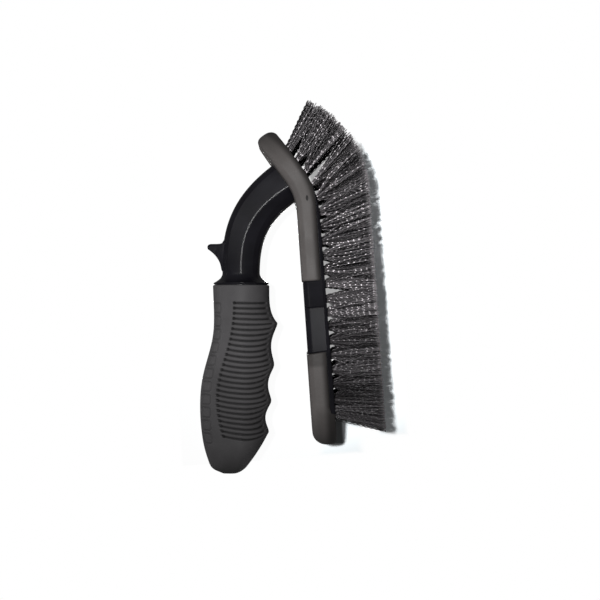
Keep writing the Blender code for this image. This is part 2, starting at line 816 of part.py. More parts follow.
def centre_on_origin(pieces, origin):
    """Put the middle of the brush's length over the origin."""
    bpy.context.view_layer.update()
    graph = bpy.context.evaluated_depsgraph_get()
    places = []
    for piece in pieces:
        evaluated = piece.evaluated_get(graph)
        places += [(evaluated.matrix_world @ vertex.co).x for vertex in evaluated.data.vertices]
    origin.location.x = -(min(places) + max(places)) / 2


def main():
    for piece in list(bpy.data.objects):
        bpy.data.objects.remove(piece, do_unlink=True)
    parts = make_collection("tire_brush")
    tools = make_collection("shaping_tools")
    origin = bpy.data.objects.new("brush_origin", None)
    parts.objects.link(origin)

    body = make_body(parts, tools, origin)
    body.data.materials.append(make_material("black_plastic", PLASTIC_COLOUR, 0.32))
    pads = make_pads(parts, tools, origin)
    for pad in pads:
        pad.data.materials.append(make_material(pad.name + "_rubber", RUBBER_COLOUR, 0.62))
    sleeve = make_sleeve(parts, tools, origin)
    sleeve.data.materials.append(make_material("grip_rubber", RUBBER_COLOUR, 0.66))
    rows = [make_row(row, parts, tools, origin) for row in range(ROW_COUNT)]
    for row in rows:
        row.data.materials.append(make_material(row.name + "_bristle", BRISTLE_COLOUR, 0.55))
    centre_on_origin([body, *pads, sleeve, *rows], origin)


main()
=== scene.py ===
"""Tire brush: the looks of its body, pads, grip and bristles, with the surface it lies on.

The brush keeps the frame of its solids: the bristle tips lie in the plane z = 0, the head
runs along X with its nose up at +X, and both sides of the plane y = 0 are alike.
"""

import math

import bmesh
import bpy
from bpy.props import FloatProperty, FloatVectorProperty, IntProperty, PointerProperty
from mathutils import Matrix, Vector


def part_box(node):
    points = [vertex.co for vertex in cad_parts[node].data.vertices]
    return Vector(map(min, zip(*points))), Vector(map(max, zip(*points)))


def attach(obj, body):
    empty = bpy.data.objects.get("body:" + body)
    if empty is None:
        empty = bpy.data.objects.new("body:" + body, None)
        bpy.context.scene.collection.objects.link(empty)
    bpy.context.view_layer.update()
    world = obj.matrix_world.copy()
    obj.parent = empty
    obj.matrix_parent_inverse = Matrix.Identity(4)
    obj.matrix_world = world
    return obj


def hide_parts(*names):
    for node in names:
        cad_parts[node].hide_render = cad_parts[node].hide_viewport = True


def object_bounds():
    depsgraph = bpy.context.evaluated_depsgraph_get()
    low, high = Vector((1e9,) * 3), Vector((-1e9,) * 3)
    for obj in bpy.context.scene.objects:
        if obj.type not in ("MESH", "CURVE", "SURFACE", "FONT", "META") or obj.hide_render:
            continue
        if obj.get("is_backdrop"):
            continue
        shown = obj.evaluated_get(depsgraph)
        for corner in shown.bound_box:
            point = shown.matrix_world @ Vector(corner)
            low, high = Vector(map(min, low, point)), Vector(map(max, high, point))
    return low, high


bl_info = {
    "name": "Tire brush",
    "version": (1, 0, 0),
    "blender": (4, 5, 0),
    "location": "3D View > Sidebar > Tire brush",
    "description": "Builds a tire brush with rubber pads, a ribbed grip and crimped bristles",
    "category": "Add Mesh",
}

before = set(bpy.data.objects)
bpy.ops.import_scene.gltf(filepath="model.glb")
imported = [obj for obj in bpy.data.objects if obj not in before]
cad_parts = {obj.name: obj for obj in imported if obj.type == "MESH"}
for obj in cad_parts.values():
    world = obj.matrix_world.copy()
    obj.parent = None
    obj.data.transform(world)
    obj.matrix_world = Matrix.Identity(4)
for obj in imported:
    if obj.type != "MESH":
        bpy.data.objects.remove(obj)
SOLID_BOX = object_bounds()

# Clearance between neighbouring pieces
GAP = 0.0003

# Head: a run is a place along its face, measured from the start of the bend
HEAD_WIDTH = 0.058
HEAD_THICKNESS = 0.0123
REAR_LENGTH = 0.1388
NOSE_LENGTH = 0.0316
BEND_X = 0.0548
BEND_RADIUS = 0.046
BEND_TURN = math.radians(32.2)
PLAN_RADIUS = 0.026
BACK_EDGE_RADIUS = 0.004
REAR_BACK_RADIUS = 0.0095
REAR_FACE_RADIUS = 0.0035
NOSE_BACK_RADIUS = 0.0048
NOSE_FACE_RADIUS = 0.0062
FACE_HEIGHT = 0.030
REAR_RUN = -REAR_LENGTH
BEND_RUN = BEND_RADIUS * BEND_TURN
NOSE_RUN = BEND_RUN + NOSE_LENGTH

# Pads, bare band and rim
PAD_WALL = 0.0018
PAD_FOOT_RADIUS = 0.0034
PAD_FOOT_SHARE = 0.45
PAD_FOOT_HEIGHT_SHARE = 0.4
PAD_EDGE = 0.0010
GATE = (0.0532, -HEAD_WIDTH / 2, 0.0359)
BACK_EDGE_HEIGHT_SHARE = 0.45
BACK_EDGE_SIDE_SHARE = 0.9
END_WALL = 0.0068
WINDOW_FRONT_X = 0.0138
WINDOW_REAR_X = -0.0281
WINDOW_RECESS = 0.0006
WINDOW_SLANT = -0.09
BAND_STEP_X = -0.0018
BAND_STEP_LENGTH = 0.0008
BAND_FRONT_DRAFT = 0.0024
BAND_REAR_DRAFT = 0.0009
BAND_FOOT = 0.0004
BAND_LIFT = 0.0002
BAND_EDGE = 0.0005
BAND_EDGE_STEPS = 4
BAND_STEPS = 80
BAND_STEP = BAND_STEP_X - BEND_X
WINDOW_FRONT = WINDOW_FRONT_X - BEND_X
WINDOW_REAR = WINDOW_REAR_X - BEND_X
RIM_HEIGHT = 0.0007
FACE_DROP = 0.0017
DROP_END_RUN = 0.016
DROP_TAPER = 0.036
SIDE_DRAFT = 0.0005
BLOCK_DRAFT = 0.0014
RIM_INSET = 0.0004
RIM_LEDGE = 0.0004
RIM_EDGE = 0.0004
RIM_LEAST_SHARE = 0.35
RIM_SIDE_RATE = 8
RIM_REAR_MARGIN = 0.019
RIM_NOSE_MARGIN = 0.0432
RIM_REAR_TAPER = 0.005
RIM_NOSE_TAPER = 0.016
CUT_MARGIN = 0.0020
CUT_RISE = 1.4

# Bristle rows
ROW_COUNT = 20
TUFTS_PER_ROW = 7
REAR_ROW_MARGIN = 0.0205
NOSE_ROW_MARGIN = 0.0172
TUFT_RADIUS = 0.0019
END_TUFT_RADIUS = 0.0013
NOSE_TUFT_RADIUS = 0.0028
REAR_TUFT_RADIUS = 0.0046
TUFT_EDGE_MARGIN = 0.0050
TRIM_START_X = 0.0665
TRIM_RADIUS = 0.058
TRIM_DROP = 0.0008
UPRIGHT_X = 0.005
REAR_LEAN = math.radians(13.0)
REAR_LEAN_POWER = 4.0
NOSE_LEAN = math.radians(23.0)
NOSE_LEAN_POWER = 1.5
SIDE_FAN = math.radians(7.25)
ROW_SPREAD = math.radians(3.0)
ROOT_SINK = 0.0008
SCATTER = 0.12
SIDE_SCATTER = 0.02
RAGGEDNESS = 0.018
SEGMENTS = 20
FIRST_SEED = 100
SEED_STEP = 17
FAN_GAIN = 1.5
PARTING_CALM = 0.45
RAY_LENGTH = 0.2

# Rows that stand beside a parting or have an open side, and how much their filaments keep
# from it on the row's rear side and on its nose side
PARTINGS = {0: (1.0, 0.0), 8: (0.0, 0.9), 9: (0.9, 0.0), 16: (0.0, 1.4), 17: (1.4, 0.0),
            18: (0.0, 1.2), 19: (1.2, 1.9)}

# Arm, thumb hook and collar
ARM_FOOT_X = 0.0739
ARM_FOOT_RISE = 0.0181
ARM_SINK = 0.008
ARM_FOOT_DEPTH = 0.0253
ARM_NECK_DEPTH = 0.0224
ARM_FOOT_WIDTH = 0.0250
ARM_NECK_WIDTH = 0.0224
ARM_FOOT_PULL = 0.026
ARM_NECK_PULL = 0.022
ARM_HOLE_SHARE = 0.3
ARM_STEPS = 120
ARM_FILLET_STEPS = 9
ARM_PANEL_STEPS = 4
RIDGE_SLIDE = 0.30
NECK_LENGTH = 0.009
NECK_BLEND = 0.5
HOOK_WIDTH = 0.013
HOOK_REACH = 0.0201
HOOK_PLACE = 0.0231
HOOK_THICKNESS = 0.0018
HOOK_TOE_PLACE = 0.0084
HOOK_HOLLOW_PLACE = 0.0165
HOOK_HOLLOW_REACH = 0.0123
HOOK_SINK = 0.006
HOOK_DRAFT = 0.50
HOOK_LEAD = 0.0014
HOOK_TIP_DROP = 0.0003
HOOK_EDGE = 0.0016
HOOK_EDGE_SHARE = 0.7
COLLAR_DIAMETER = 0.0330
COLLAR_EDGE = 0.0012
COLLAR_SEAT_DEPTH = 0.004
COLLAR_FLARE = ((0.0, 0.0), (0.38, 0.02), (0.65, 0.22), (0.87, 0.58), (1.0, 0.88))

# Front edge of the hook from its root: places from its front, reaches from the arm's surface
HOOK_ROOT = ((-0.0026, -HOOK_SINK), (-0.0024, -0.0012), (-0.0004, 0.0001), (-0.0001, 0.0012),
             (0.0, 0.003))

# Front corner of the hook: places from its front, reaches from its full reach
HOOK_CORNER = ((0.0, -0.0020), (0.0004, -0.0007))

# Rear foot of the hook: places from its toe, reaches from the arm's surface
HOOK_HEEL = ((0.0, 0.0001), (0.002, -0.0015), (0.002, -HOOK_SINK))

# Right half of the arm's section: a corner as shares of the half depth and half width, and
# the radius that rounds it, in millimetres
ARM_CORNERS = (
    (1.00, 0.00, 0.0), (1.00, 0.34, 2.2), (0.93, 0.60, 2.4), (0.74, 0.86, 1.4),
    (-0.03, 1.00, 3.8), (-0.66, 0.80, 2.2), (-0.93, 0.60, 2.2), (-1.00, 0.28, 2.4),
    (-1.00, 0.00, 0.0),
)
HALF_IN_MM = 500

# Grip
GRIP_X = 0.01467
GRIP_Z = 0.0787
GRIP_TILT = math.radians(4.0)
GRIP_DIAMETER = 0.0338
GRIP_LENGTH = 0.1131
GRIP_WIDTH = 0.0350
END_ROUND_SHARE = 0.55
END_FLAT_SHARE = 0.9995
PALM_LINE = (
    (0.0, 1.0), (0.20, 0.965), (0.30, 1.04), (0.50, 1.38), (0.65, 1.455),
    (0.82, 1.36), (0.94, 1.14), (0.975, 0.98), (1.0, 0.62),
)
SWELL_PLACES = (0.0228, 0.0480, 0.0696, 0.0882)
SWELL_FRONT = 0.0218
SWELL_REAR = 0.0166
SWELL_SOFTNESS = 0.30
SWELL_HOLLOW = 0.0027
END_BULGE = 0.0011
END_CORNER_RADIUS = 0.0045
RIB_PALM_ANGLE = 74.5
RIB_PALM_SWEEP = 22.0
RIB_PALM_CENTRE = 0.065
RIB_PALM_REACH = 0.055
RIB_FINGER_ANGLE = 157.0
LIP_RADIUS = 0.0009
LIP_PLACES = (0.0, 0.00009, 0.00035, 0.0008, 0.0013)
RIBBED_START = 0.002
RIBBED_LENGTH = 0.0935
RIBBED_STEP = 0.00030
END_STEPS = 26
BOW_END = 0.060
PIT_LENGTH = 0.00115
PIT_ANGLE = 3.6
PIT_SWEEP = 4.0
CELL_CORNER = 0.0014

# Points round half of the grip: over the palm, along the ribs and under the fingers
PALM_STEPS, RIB_STEPS, FINGER_STEPS = 34, 46, 12

# The frame lies back from the head's own lines by this much along X
FRAME_SHIFT = Vector((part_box("front_pad")[0].x - WINDOW_FRONT_X, 0.0, 0.0))


# Settings

class TireBrushSettings(bpy.types.PropertyGroup):
    filaments: IntProperty(
        name="Filaments", description="Filaments in each tuft", default=38, min=8, max=80)
    filament_radius: FloatProperty(
        name="Filament radius", description="Radius of one filament", default=0.00026,
        unit="LENGTH", precision=5)
    flare: FloatProperty(
        name="Flare", description="How far a tuft's outer filaments spread above its foot",
        default=0.0031, unit="LENGTH", precision=5)
    crimp: FloatProperty(
        name="Crimp", description="Height of the filaments' waves", default=0.00030,
        unit="LENGTH", precision=5)
    rib_count: IntProperty(name="Ribs", description="Grooves on each side of the grip", default=27)
    rib_pitch: FloatProperty(
        name="Rib pitch", description="Distance between grooves", default=0.00301,
        unit="LENGTH", precision=5)
    groove_depth: FloatProperty(
        name="Groove depth", description="Depth of the grooves between ribs", default=0.0010,
        unit="LENGTH", precision=5)
    rib_bow: FloatProperty(
        name="Rib bow", description="How far the grooves curve towards the grip's end",
        default=0.0025, unit="LENGTH", precision=5)
    cell_count: IntProperty(
        name="Palm cells", description="Outlined cells along each edge of the palm", default=11)
    cell_pitch: FloatProperty(
        name="Palm cell pitch", description="Distance between palm cells", default=0.00774,
        unit="LENGTH", precision=5)
    plastic_colour: FloatVectorProperty(
        name="Plastic", description="Colour of the moulded body", default=(0.0045, 0.0043, 0.0060),
        subtype="COLOR", size=3)
    pad_colour: FloatVectorProperty(
        name="Pads", description="Colour of the rubber pads", default=(0.080, 0.0735, 0.0715),
        subtype="COLOR", size=3)
    grip_colour: FloatVectorProperty(
        name="Grip", description="Colour of the rubber grip", default=(0.060, 0.058, 0.060),
        subtype="COLOR", size=3)
    bristle_colour: FloatVectorProperty(
        name="Bristles", description="Colour of the filaments", default=(0.075, 0.070, 0.074),
        subtype="COLOR", size=3)
    # The tip colour is also the base of the painted glints on the crests
    bristle_tip_colour: FloatVectorProperty(
        name="Bristle tips", description="Colour of the worn tips", default=(0.090, 0.085, 0.088),
        subtype="COLOR", size=3)


def settings():
    return bpy.context.scene.tire_brush


# Meshes and objects

def add_object(name, data):
    """Object in the scene, at the origin."""
    made = bpy.data.objects.new(name, data)
    bpy.context.scene.collection.objects.link(made)
    return made


def claim(piece, slot, node):
    """Let a piece ride with the brush and stand for one of its solids."""
    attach(piece, "root")
    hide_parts(node)


def add_piece(name, mesh, slot, node):
    piece = add_object(name, mesh)
    claim(piece, slot, node)
    return piece


def shade(mesh, sharp_angle):
    mesh.shade_smooth()
    mesh.set_sharp_from_angle(angle=math.radians(sharp_angle))


def finish_mesh(bm, name, sharp_angle=40.0):
    """Mesh in the frame of the solids, with its faces outward and its corners sharp."""
    bmesh.ops.remove_doubles(bm, verts=bm.verts, dist=1e-7)
    bmesh.ops.recalc_face_normals(bm, faces=bm.faces)
    bmesh.ops.translate(bm, verts=bm.verts, vec=FRAME_SHIFT)
    mesh = bpy.data.meshes.new(name)
    bm.to_mesh(mesh)
    bm.free()
    shade(mesh, sharp_angle)
    return mesh


def skin(bm, loops):
    """Faces between loops of vertices, with a cap at each end."""
    for first, second in zip(loops, loops[1:]):
        for index in range(len(first)):
            after = (index + 1) % len(first)
            bm.faces.new((first[index], first[after], second[after], second[index]))
    bm.faces.new(list(reversed(loops[0])))
    bm.faces.new(loops[-1])


def loft(name, rings, sharp_angle=40.0):
    """Mesh of a closed solid that passes through rings of points and ends in caps."""
    bm = bmesh.new()
    skin(bm, [[bm.verts.new(point) for point in ring] for ring in rings])
    return finish_mesh(bm, name, sharp_angle)


def settle(piece):
    """Turn a piece's modifiers into plain mesh."""
    bpy.context.view_layer.update()
    graph = bpy.context.evaluated_depsgraph_get()
    made = bpy.data.meshes.new_from_object(piece.evaluated_get(graph), depsgraph=graph)
    old = piece.data
    piece.modifiers.clear()
    piece.data = made
    made.name = piece.name
    bpy.data.meshes.remove(old)


def carve(name, mesh, cuts):
    """Mesh of a solid from which others have been cut."""
    body = add_object(name, mesh)
    tools = []
    for cut in cuts:
        tool = add_object(cut.name, cut)
        modifier = body.modifiers.new("cut", "BOOLEAN")
        modifier.object, modifier.operation, modifier.solver = tool, "DIFFERENCE", "EXACT"
        tools.append(tool)
    settle(body)
    for tool in tools:
        bpy.data.objects.remove(tool, do_unlink=True)
    made = body.data
    bpy.data.objects.remove(body, do_unlink=True)
    shade(made, 35.0)
    return made


def even_shading(piece):
    """Let the broad faces keep their own normals, so that round edges don't tint them."""
    modifier = piece.modifiers.new("even shading", "WEIGHTED_NORMAL")
    modifier.keep_sharp = True
    modifier.weight = 100
    settle(piece)


def smooth_value(points, place):
    """Height of a smooth curve through points of rising place."""
    last = len(points) - 1
    if place <= points[0][0]:
        return points[0][1]
    if place >= points[last][0]:
        return points[last][1]
    index = max(i for i in range(last) if points[i][0] <= place)
    x0, y0 = points[index]
    x1, y1 = points[index + 1]
    before = points[max(index - 1, 0)]
    after = points[min(index + 2, last)]
    slope0 = (y1 - before[1]) / (x1 - before[0])
    slope1 = (after[1] - y0) / (after[0] - x0)
    span = x1 - x0
    t = (place - x0) / span
    return (
        y0 * (2 * t**3 - 3 * t**2 + 1) + slope0 * span * (t**3 - 2 * t**2 + t)
        + y1 * (3 * t**2 - 2 * t**3) + slope1 * span * (t**3 - t**2)
    )


def eased(share):
    """Share held between 0 and 1 that leaves and arrives gently."""
    share = min(max(share, 0.0), 1.0)
    return share * share * (3 - 2 * share)


# The head's lines

def face_turn(run):
    """How far the face has turned up at a run."""
    return min(max(run / BEND_RADIUS, 0.0), BEND_TURN)


def head_point(run, side, height):
    """Point at a run, a distance from the middle and a height over the face's line."""
    turn = face_turn(run)
    along = Vector((math.cos(turn), 0.0, math.sin(turn)))
    up = Vector((-math.sin(turn), 0.0, math.cos(turn)))
    centre = Vector((BEND_X, 0.0, FACE_HEIGHT + BEND_RADIUS))
    point = centre - up * (BEND_RADIUS - height) + along * (run - turn * BEND_RADIUS)
    return Vector((point.x, side, point.z))


def quarter(steps):
    """Cosines and sines over a quarter turn."""
    angles = [math.pi / 2 * step / steps for step in range(steps + 1)]
    return [(math.cos(angle), math.sin(angle)) for angle in angles]


def rounding(distance, radius):
    """How far a rounded edge lies back at a distance from its end."""
    if distance >= radius:
        return 0.0
    reach = radius - max(distance, 0.0)
    return radius - math.sqrt(max(radius**2 - reach**2, 0.0))


def head_half_width(run):
    return HEAD_WIDTH / 2 - rounding(min(run - REAR_RUN, NOSE_RUN - run), PLAN_RADIUS)


def head_top(run):
    rear = rounding(run - REAR_RUN, REAR_BACK_RADIUS)
    return HEAD_THICKNESS - rear - rounding(NOSE_RUN - run, NOSE_BACK_RADIUS)


def head_bottom(run):
    rear = rounding(run - REAR_RUN, REAR_FACE_RADIUS)
    return rear + rounding(NOSE_RUN - run, NOSE_FACE_RADIUS)


def head_runs(start, end, extra=()):
    """Runs of the sections between two runs, close together where the head is round."""
    marks = [start, end, *extra]
    for cosine, _ in quarter(24)[1:]:
        distance = PLAN_RADIUS * (1 - cosine)
        marks += [REAR_RUN + distance, NOSE_RUN - distance]
    marks += [BEND_RUN * step / 20 for step in range(21)]
    for step in range(13):
        marks += [REAR_RUN + RIM_REAR_MARGIN + RIM_REAR_TAPER * step / 12,
                  NOSE_RUN - RIM_NOSE_MARGIN - RIM_NOSE_TAPER * step / 12]
    kept = []
    for mark in sorted(mark for mark in marks if start <= mark <= end):
        if not kept or mark - kept[-1] > 0.00005 or mark in extra:
            kept.append(mark)
    kept[-1] = end
    return kept


def round_corner(side, top, radius, steps=10):
    """Points of a section's rounded upper corner, from its side to its top."""
    return [(side - radius + radius * cosine, top - radius + radius * sine)
            for cosine, sine in quarter(steps)]


def mirrored_ring(half, run, slant=0.0):
    """Section of the head from its right half, which can slant along the head."""
    outline = half + [(-side, height) for side, height in reversed(half)]
    lean = HEAD_THICKNESS / 2
    return [head_point(run + slant * (height - lean), side, height) for side, height in outline]


def face_drop(run):
    """How far the face stands out below its line: it dies away into the bend."""
    return FACE_DROP * eased((DROP_END_RUN - run) / DROP_TAPER)


def rim_share(run):
    """How much of the rim's height shows at a run: it tapers out towards both ends."""
    rear = (run - REAR_RUN - RIM_REAR_MARGIN) / RIM_REAR_TAPER
    nose = (NOSE_RUN - RIM_NOSE_MARGIN - run) / RIM_NOSE_TAPER
    return eased(min(rear, nose))


def pad_ring(run, slant, draw_in):
    """Section of a pad's outer skin, drawn in by the band."""
    side = head_half_width(run) - draw_in
    low, top = head_bottom(run), head_top(run) - draw_in
    radius = min(BACK_EDGE_RADIUS, BACK_EDGE_HEIGHT_SHARE * (top - low),
                 BACK_EDGE_SIDE_SHARE * side)
    low -= face_drop(run)
    low += (RIM_HEIGHT + GAP + face_drop(run)) * rim_share(run)
    foot = min(PAD_FOOT_RADIUS, PAD_FOOT_HEIGHT_SHARE * (top - low))
    half = [(side - foot * PAD_FOOT_SHARE * (1 - sine), low + foot * (1 - cosine))
            for cosine, sine in quarter(6)]
    return mirrored_ring(half + round_corner(side, top, radius), run, slant)


def block_ring(run, grow=0.0, depth=0.0):
    """Section of the body's block: its rim, and above it what the pads cover."""
    share = rim_share(run)
    side = head_half_width(run) - PAD_WALL
    out = min(share * RIM_SIDE_RATE, 1.0) * (PAD_WALL - RIM_LEDGE - RIM_INSET)
    rim_side = side + RIM_LEDGE + out + grow
    top = head_top(run) - PAD_WALL
    height = RIM_HEIGHT * max(share, RIM_LEAST_SHARE) + grow * CUT_RISE
    bottom = -face_drop(run) - depth
    half = [(rim_side - RIM_EDGE - SIDE_DRAFT, bottom), (rim_side - SIDE_DRAFT, bottom + RIM_EDGE),
            (rim_side, height), (side + grow, height)]
    half += round_corner(side - BLOCK_DRAFT + grow, top + grow, BACK_EDGE_RADIUS - PAD_WALL, 4)
    return mirrored_ring(half, run)


def band_ring(run, slant, draw_in):
    """Section of the bare band: flush with the rim below, and steeper in its front part."""
    side = HEAD_WIDTH / 2 - RIM_INSET / 2
    share = min(max((run - BAND_STEP) / BAND_STEP_LENGTH, 0.0), 1.0)
    draft = BAND_REAR_DRAFT + (BAND_FRONT_DRAFT - BAND_REAR_DRAFT) * share
    top = HEAD_THICKNESS - WINDOW_RECESS - draw_in
    half = [(side - BAND_FOOT, BAND_LIFT), (side, BAND_LIFT + BAND_FOOT)]
    half += round_corner(side - draft - draw_in, top, BACK_EDGE_RADIUS - WINDOW_RECESS)
    return mirrored_ring(half, run, slant)


# The arm's and the grip's lines

def grip_axis():
    """The grip's front end, the way back along it and the way to its palm side."""
    back = Vector((-math.cos(GRIP_TILT), 0.0, math.sin(GRIP_TILT)))
    palm = Vector((math.sin(GRIP_TILT), 0.0, math.cos(GRIP_TILT)))
    return Vector((GRIP_X, 0.0, GRIP_Z)), back, palm


def arm_path(share):
    """Point and heading on the arm's middle line, at a share of it from the foot."""
    foot = Vector((ARM_FOOT_X, 0.0, FACE_HEIGHT + ARM_FOOT_RISE))
    foot_heading = Vector((-math.sin(BEND_TURN), 0.0, math.cos(BEND_TURN)))
    origin, back, _ = grip_axis()
    neck = origin - back * NECK_LENGTH
    points = (foot, foot + foot_heading * ARM_FOOT_PULL, neck - back * ARM_NECK_PULL, neck)
    left = 1 - share
    weights = (left**3, 3 * left**2 * share, 3 * left * share**2, share**3)
    centre = sum((point * weight for point, weight in zip(points, weights)), Vector())
    slopes = (-3 * left**2, 3 * left * (1 - 3 * share), 3 * share * (2 - 3 * share), 3 * share**2)
    heading = sum((point * slope for point, slope in zip(points, slopes)), Vector()).normalized()
    return centre, heading


def arm_outline(share=1.0):
    """Rounded right half of the arm's section, as shares of its half depth and half width.

    Towards the foot the ridge lies nearer to the arm's inner edge.
    """
    depth, width = ARM_FOOT_DEPTH * HALF_IN_MM, ARM_FOOT_WIDTH * HALF_IN_MM
    slide = RIDGE_SLIDE * (1 - share) ** 2
    corners = [(Vector(((out - (slide if side == 1.0 else 0.0)) * depth, side * width)), radius)
               for out, side, radius in ARM_CORNERS]
    points = [corners[0][0]]
    for (before, _), (corner, radius), (after, _) in zip(corners, corners[1:], corners[2:]):
        back, on = (before - corner).normalized(), (after - corner).normalized()
        half = math.acos(max(min(back.dot(on), 1.0), -1.0)) / 2
        reach = min(radius / math.tan(half), (before - corner).length * 0.49,
                    (after - corner).length * 0.49)
        start, end = corner + back * reach, corner + on * reach
        for step in range(ARM_FILLET_STEPS + 1):
            t = step / ARM_FILLET_STEPS
            points.append(start * (1 - t) ** 2 + corner * 2 * t * (1 - t) + end * t**2)
    points.append(corners[-1][0])
    fine = []
    for index, (first, second) in enumerate(zip(points, points[1:])):
        steps = 1 if index % (ARM_FILLET_STEPS + 1) else ARM_PANEL_STEPS
        fine += [first.lerp(second, step / steps) for step in range(steps)]
    fine.append(points[-1])
    return [(point.x / depth, point.y / width) for point in fine]


def arm_ring(centre, heading, depth, width, outline, roundness=0.0, grow=0.0):
    """Section square to a heading: the arm's shape, which can turn into a circle."""
    outward = Vector((heading.z, 0.0, -heading.x))
    half = []
    for out, side in outline:
        angle = math.atan2(side, out)
        out = out + (math.cos(angle) - out) * roundness
        side = side + (math.sin(angle) - side) * roundness
        half.append((out * (depth / 2 + grow), side * (width / 2 + grow)))
    ring = half + [(out, -side) for out, side in reversed(half[1:-1])]
    return [centre + outward * out + Vector((0.0, side, 0.0)) for out, side in ring]


def arm_rings(grow=0.0, last=1.0):
    """Sections of the arm, from inside the head to a last share of its length."""
    start, heading = arm_path(0.0)
    rings = [arm_ring(start - heading * ARM_SINK, heading, ARM_FOOT_DEPTH, ARM_FOOT_WIDTH,
                      arm_outline(0.0), grow=grow)]
    for step in range(ARM_STEPS + 1):
        share = step / ARM_STEPS
        if share > last:
            break
        centre, heading = arm_path(share)
        depth = ARM_FOOT_DEPTH + (ARM_NECK_DEPTH - ARM_FOOT_DEPTH) * share
        width = ARM_FOOT_WIDTH + (ARM_NECK_WIDTH - ARM_FOOT_WIDTH) * share
        rings.append(arm_ring(centre, heading, depth, width, arm_outline(share),
                              neck_roundness(share - 1.0), grow))
    return rings


def neck_roundness(along):
    """How round the section is, from the arm's last half (-0.5) to the collar's lip (1)."""
    return eased((along + NECK_BLEND) / (1 + NECK_BLEND))


def collar_rings():
    """Sections of the neck's flare, the collar's round lip and its seat in the grip."""
    origin, back, _ = grip_axis()
    edge = GAP + COLLAR_EDGE
    outline = arm_outline()
    rings = []
    for step in range(1, 17):
        along = step / 16
        share = smooth_value(COLLAR_FLARE, along)
        depth = ARM_NECK_DEPTH + (COLLAR_DIAMETER - ARM_NECK_DEPTH) * share
        width = ARM_NECK_WIDTH + (COLLAR_DIAMETER - ARM_NECK_WIDTH) * share
        centre = origin + back * (-NECK_LENGTH + (NECK_LENGTH - edge) * along)
        rings.append(arm_ring(centre, back, depth, width, outline, neck_roundness(along)))
    lip = COLLAR_EDGE / 2
    for step in range(9):
        angle = math.pi * step / 8
        radius = COLLAR_DIAMETER - 2 * lip * (1 - math.sin(angle))
        centre = origin + back * (-edge + lip - lip * math.cos(angle))
        rings.append(arm_ring(centre, back, radius, radius, outline, 1.0))
    seat = COLLAR_DIAMETER - 1.5 * COLLAR_EDGE
    for place in (-GAP, COLLAR_SEAT_DEPTH):
        rings.append(arm_ring(origin + back * place, back, seat, seat, outline, 1.0))
    return rings


def hook_mesh():
    """Thumb hook: a level front, a blunt tip and a hollow rear edge, rounded all round."""
    origin, back, palm = grip_axis()
    surface = ARM_NECK_DEPTH / 2
    front = -HOOK_PLACE - HOOK_LEAD
    tip = (-HOOK_PLACE + HOOK_THICKNESS, HOOK_REACH - HOOK_TIP_DROP)
    hollow = (-HOOK_HOLLOW_PLACE, HOOK_HOLLOW_REACH)
    heel = [(-HOOK_TOE_PLACE + place, surface + reach) for place, reach in HOOK_HEEL]
    outline = [(front + place, surface + reach) for place, reach in HOOK_ROOT]
    outline += [(front + place, HOOK_REACH + reach) for place, reach in HOOK_CORNER]
    outline += [(-HOOK_PLACE, HOOK_REACH), ((-HOOK_PLACE + tip[0]) / 2, HOOK_REACH), tip]
    for step in range(1, 16):
        share = step / 16
        outline.append(tuple(
            a * (1 - share) ** 2 + b * 2 * share * (1 - share) + c * share**2
            for a, b, c in zip(tip, hollow, heel[0])
        ))
    outline += heel
    points = [origin + back * place + palm * reach for place, reach in outline]
    centre = sum(points, Vector()) / len(points)
    rings = []
    for step in range(-8, 9):
        angle = math.pi / 2 * abs(step) / 8
        side = HOOK_WIDTH / 2 - HOOK_EDGE + HOOK_EDGE * math.sin(angle)
        inset = HOOK_EDGE * (1 - math.cos(angle)) * HOOK_EDGE_SHARE
        side = math.copysign(side if step else 0.0, step)
        ring = []
        for point, (_, reach) in zip(points, outline):
            away = Vector((centre.x - point.x, 0.0, centre.z - point.z)).normalized()
            draft = 1 - HOOK_DRAFT * max(reach - surface, 0.0) / (HOOK_REACH - surface)
            ring.append(Vector((point.x, side * draft, point.z)) + away * inset)
        rings.append(ring)
    return loft("thumb_hook", rings, 50.0)


def end_share(place):
    """Share of the grip's thickness at a place: it closes in a round end."""
    start = GRIP_LENGTH - END_ROUND_SHARE * GRIP_WIDTH
    if place <= start:
        return 1.0
    return math.sqrt(1 - min((place - start) / (GRIP_LENGTH - start), END_FLAT_SHARE) ** 2)


def finger_reach(place):
    """Distance of the finger side from the grip's axis, with hollows between the swells."""
    first, last = SWELL_PLACES[0], SWELL_PLACES[-1]
    radius = GRIP_DIAMETER / 2
    if place < first:
        return radius + (SWELL_FRONT - radius) * max(place / first, 0.0) ** 4
    if place > last:
        share = (place - last) / (GRIP_LENGTH - last)
        bulge = END_BULGE * math.sin(math.pi * share)
        return SWELL_REAR * (1 - share) + bulge - rounding(GRIP_LENGTH - place, END_CORNER_RADIUS)
    reach = SWELL_FRONT + (SWELL_REAR - SWELL_FRONT) * (place - first) / (last - first)
    start, end = [pair for pair in zip(SWELL_PLACES, SWELL_PLACES[1:]) if pair[0] <= place][-1]
    wave = math.sin(math.pi * min((place - start) / (end - start), 1.0))
    dip = math.hypot(wave, SWELL_SOFTNESS) - SWELL_SOFTNESS
    return reach - SWELL_HOLLOW * dip / (math.hypot(1.0, SWELL_SOFTNESS) - SWELL_SOFTNESS)


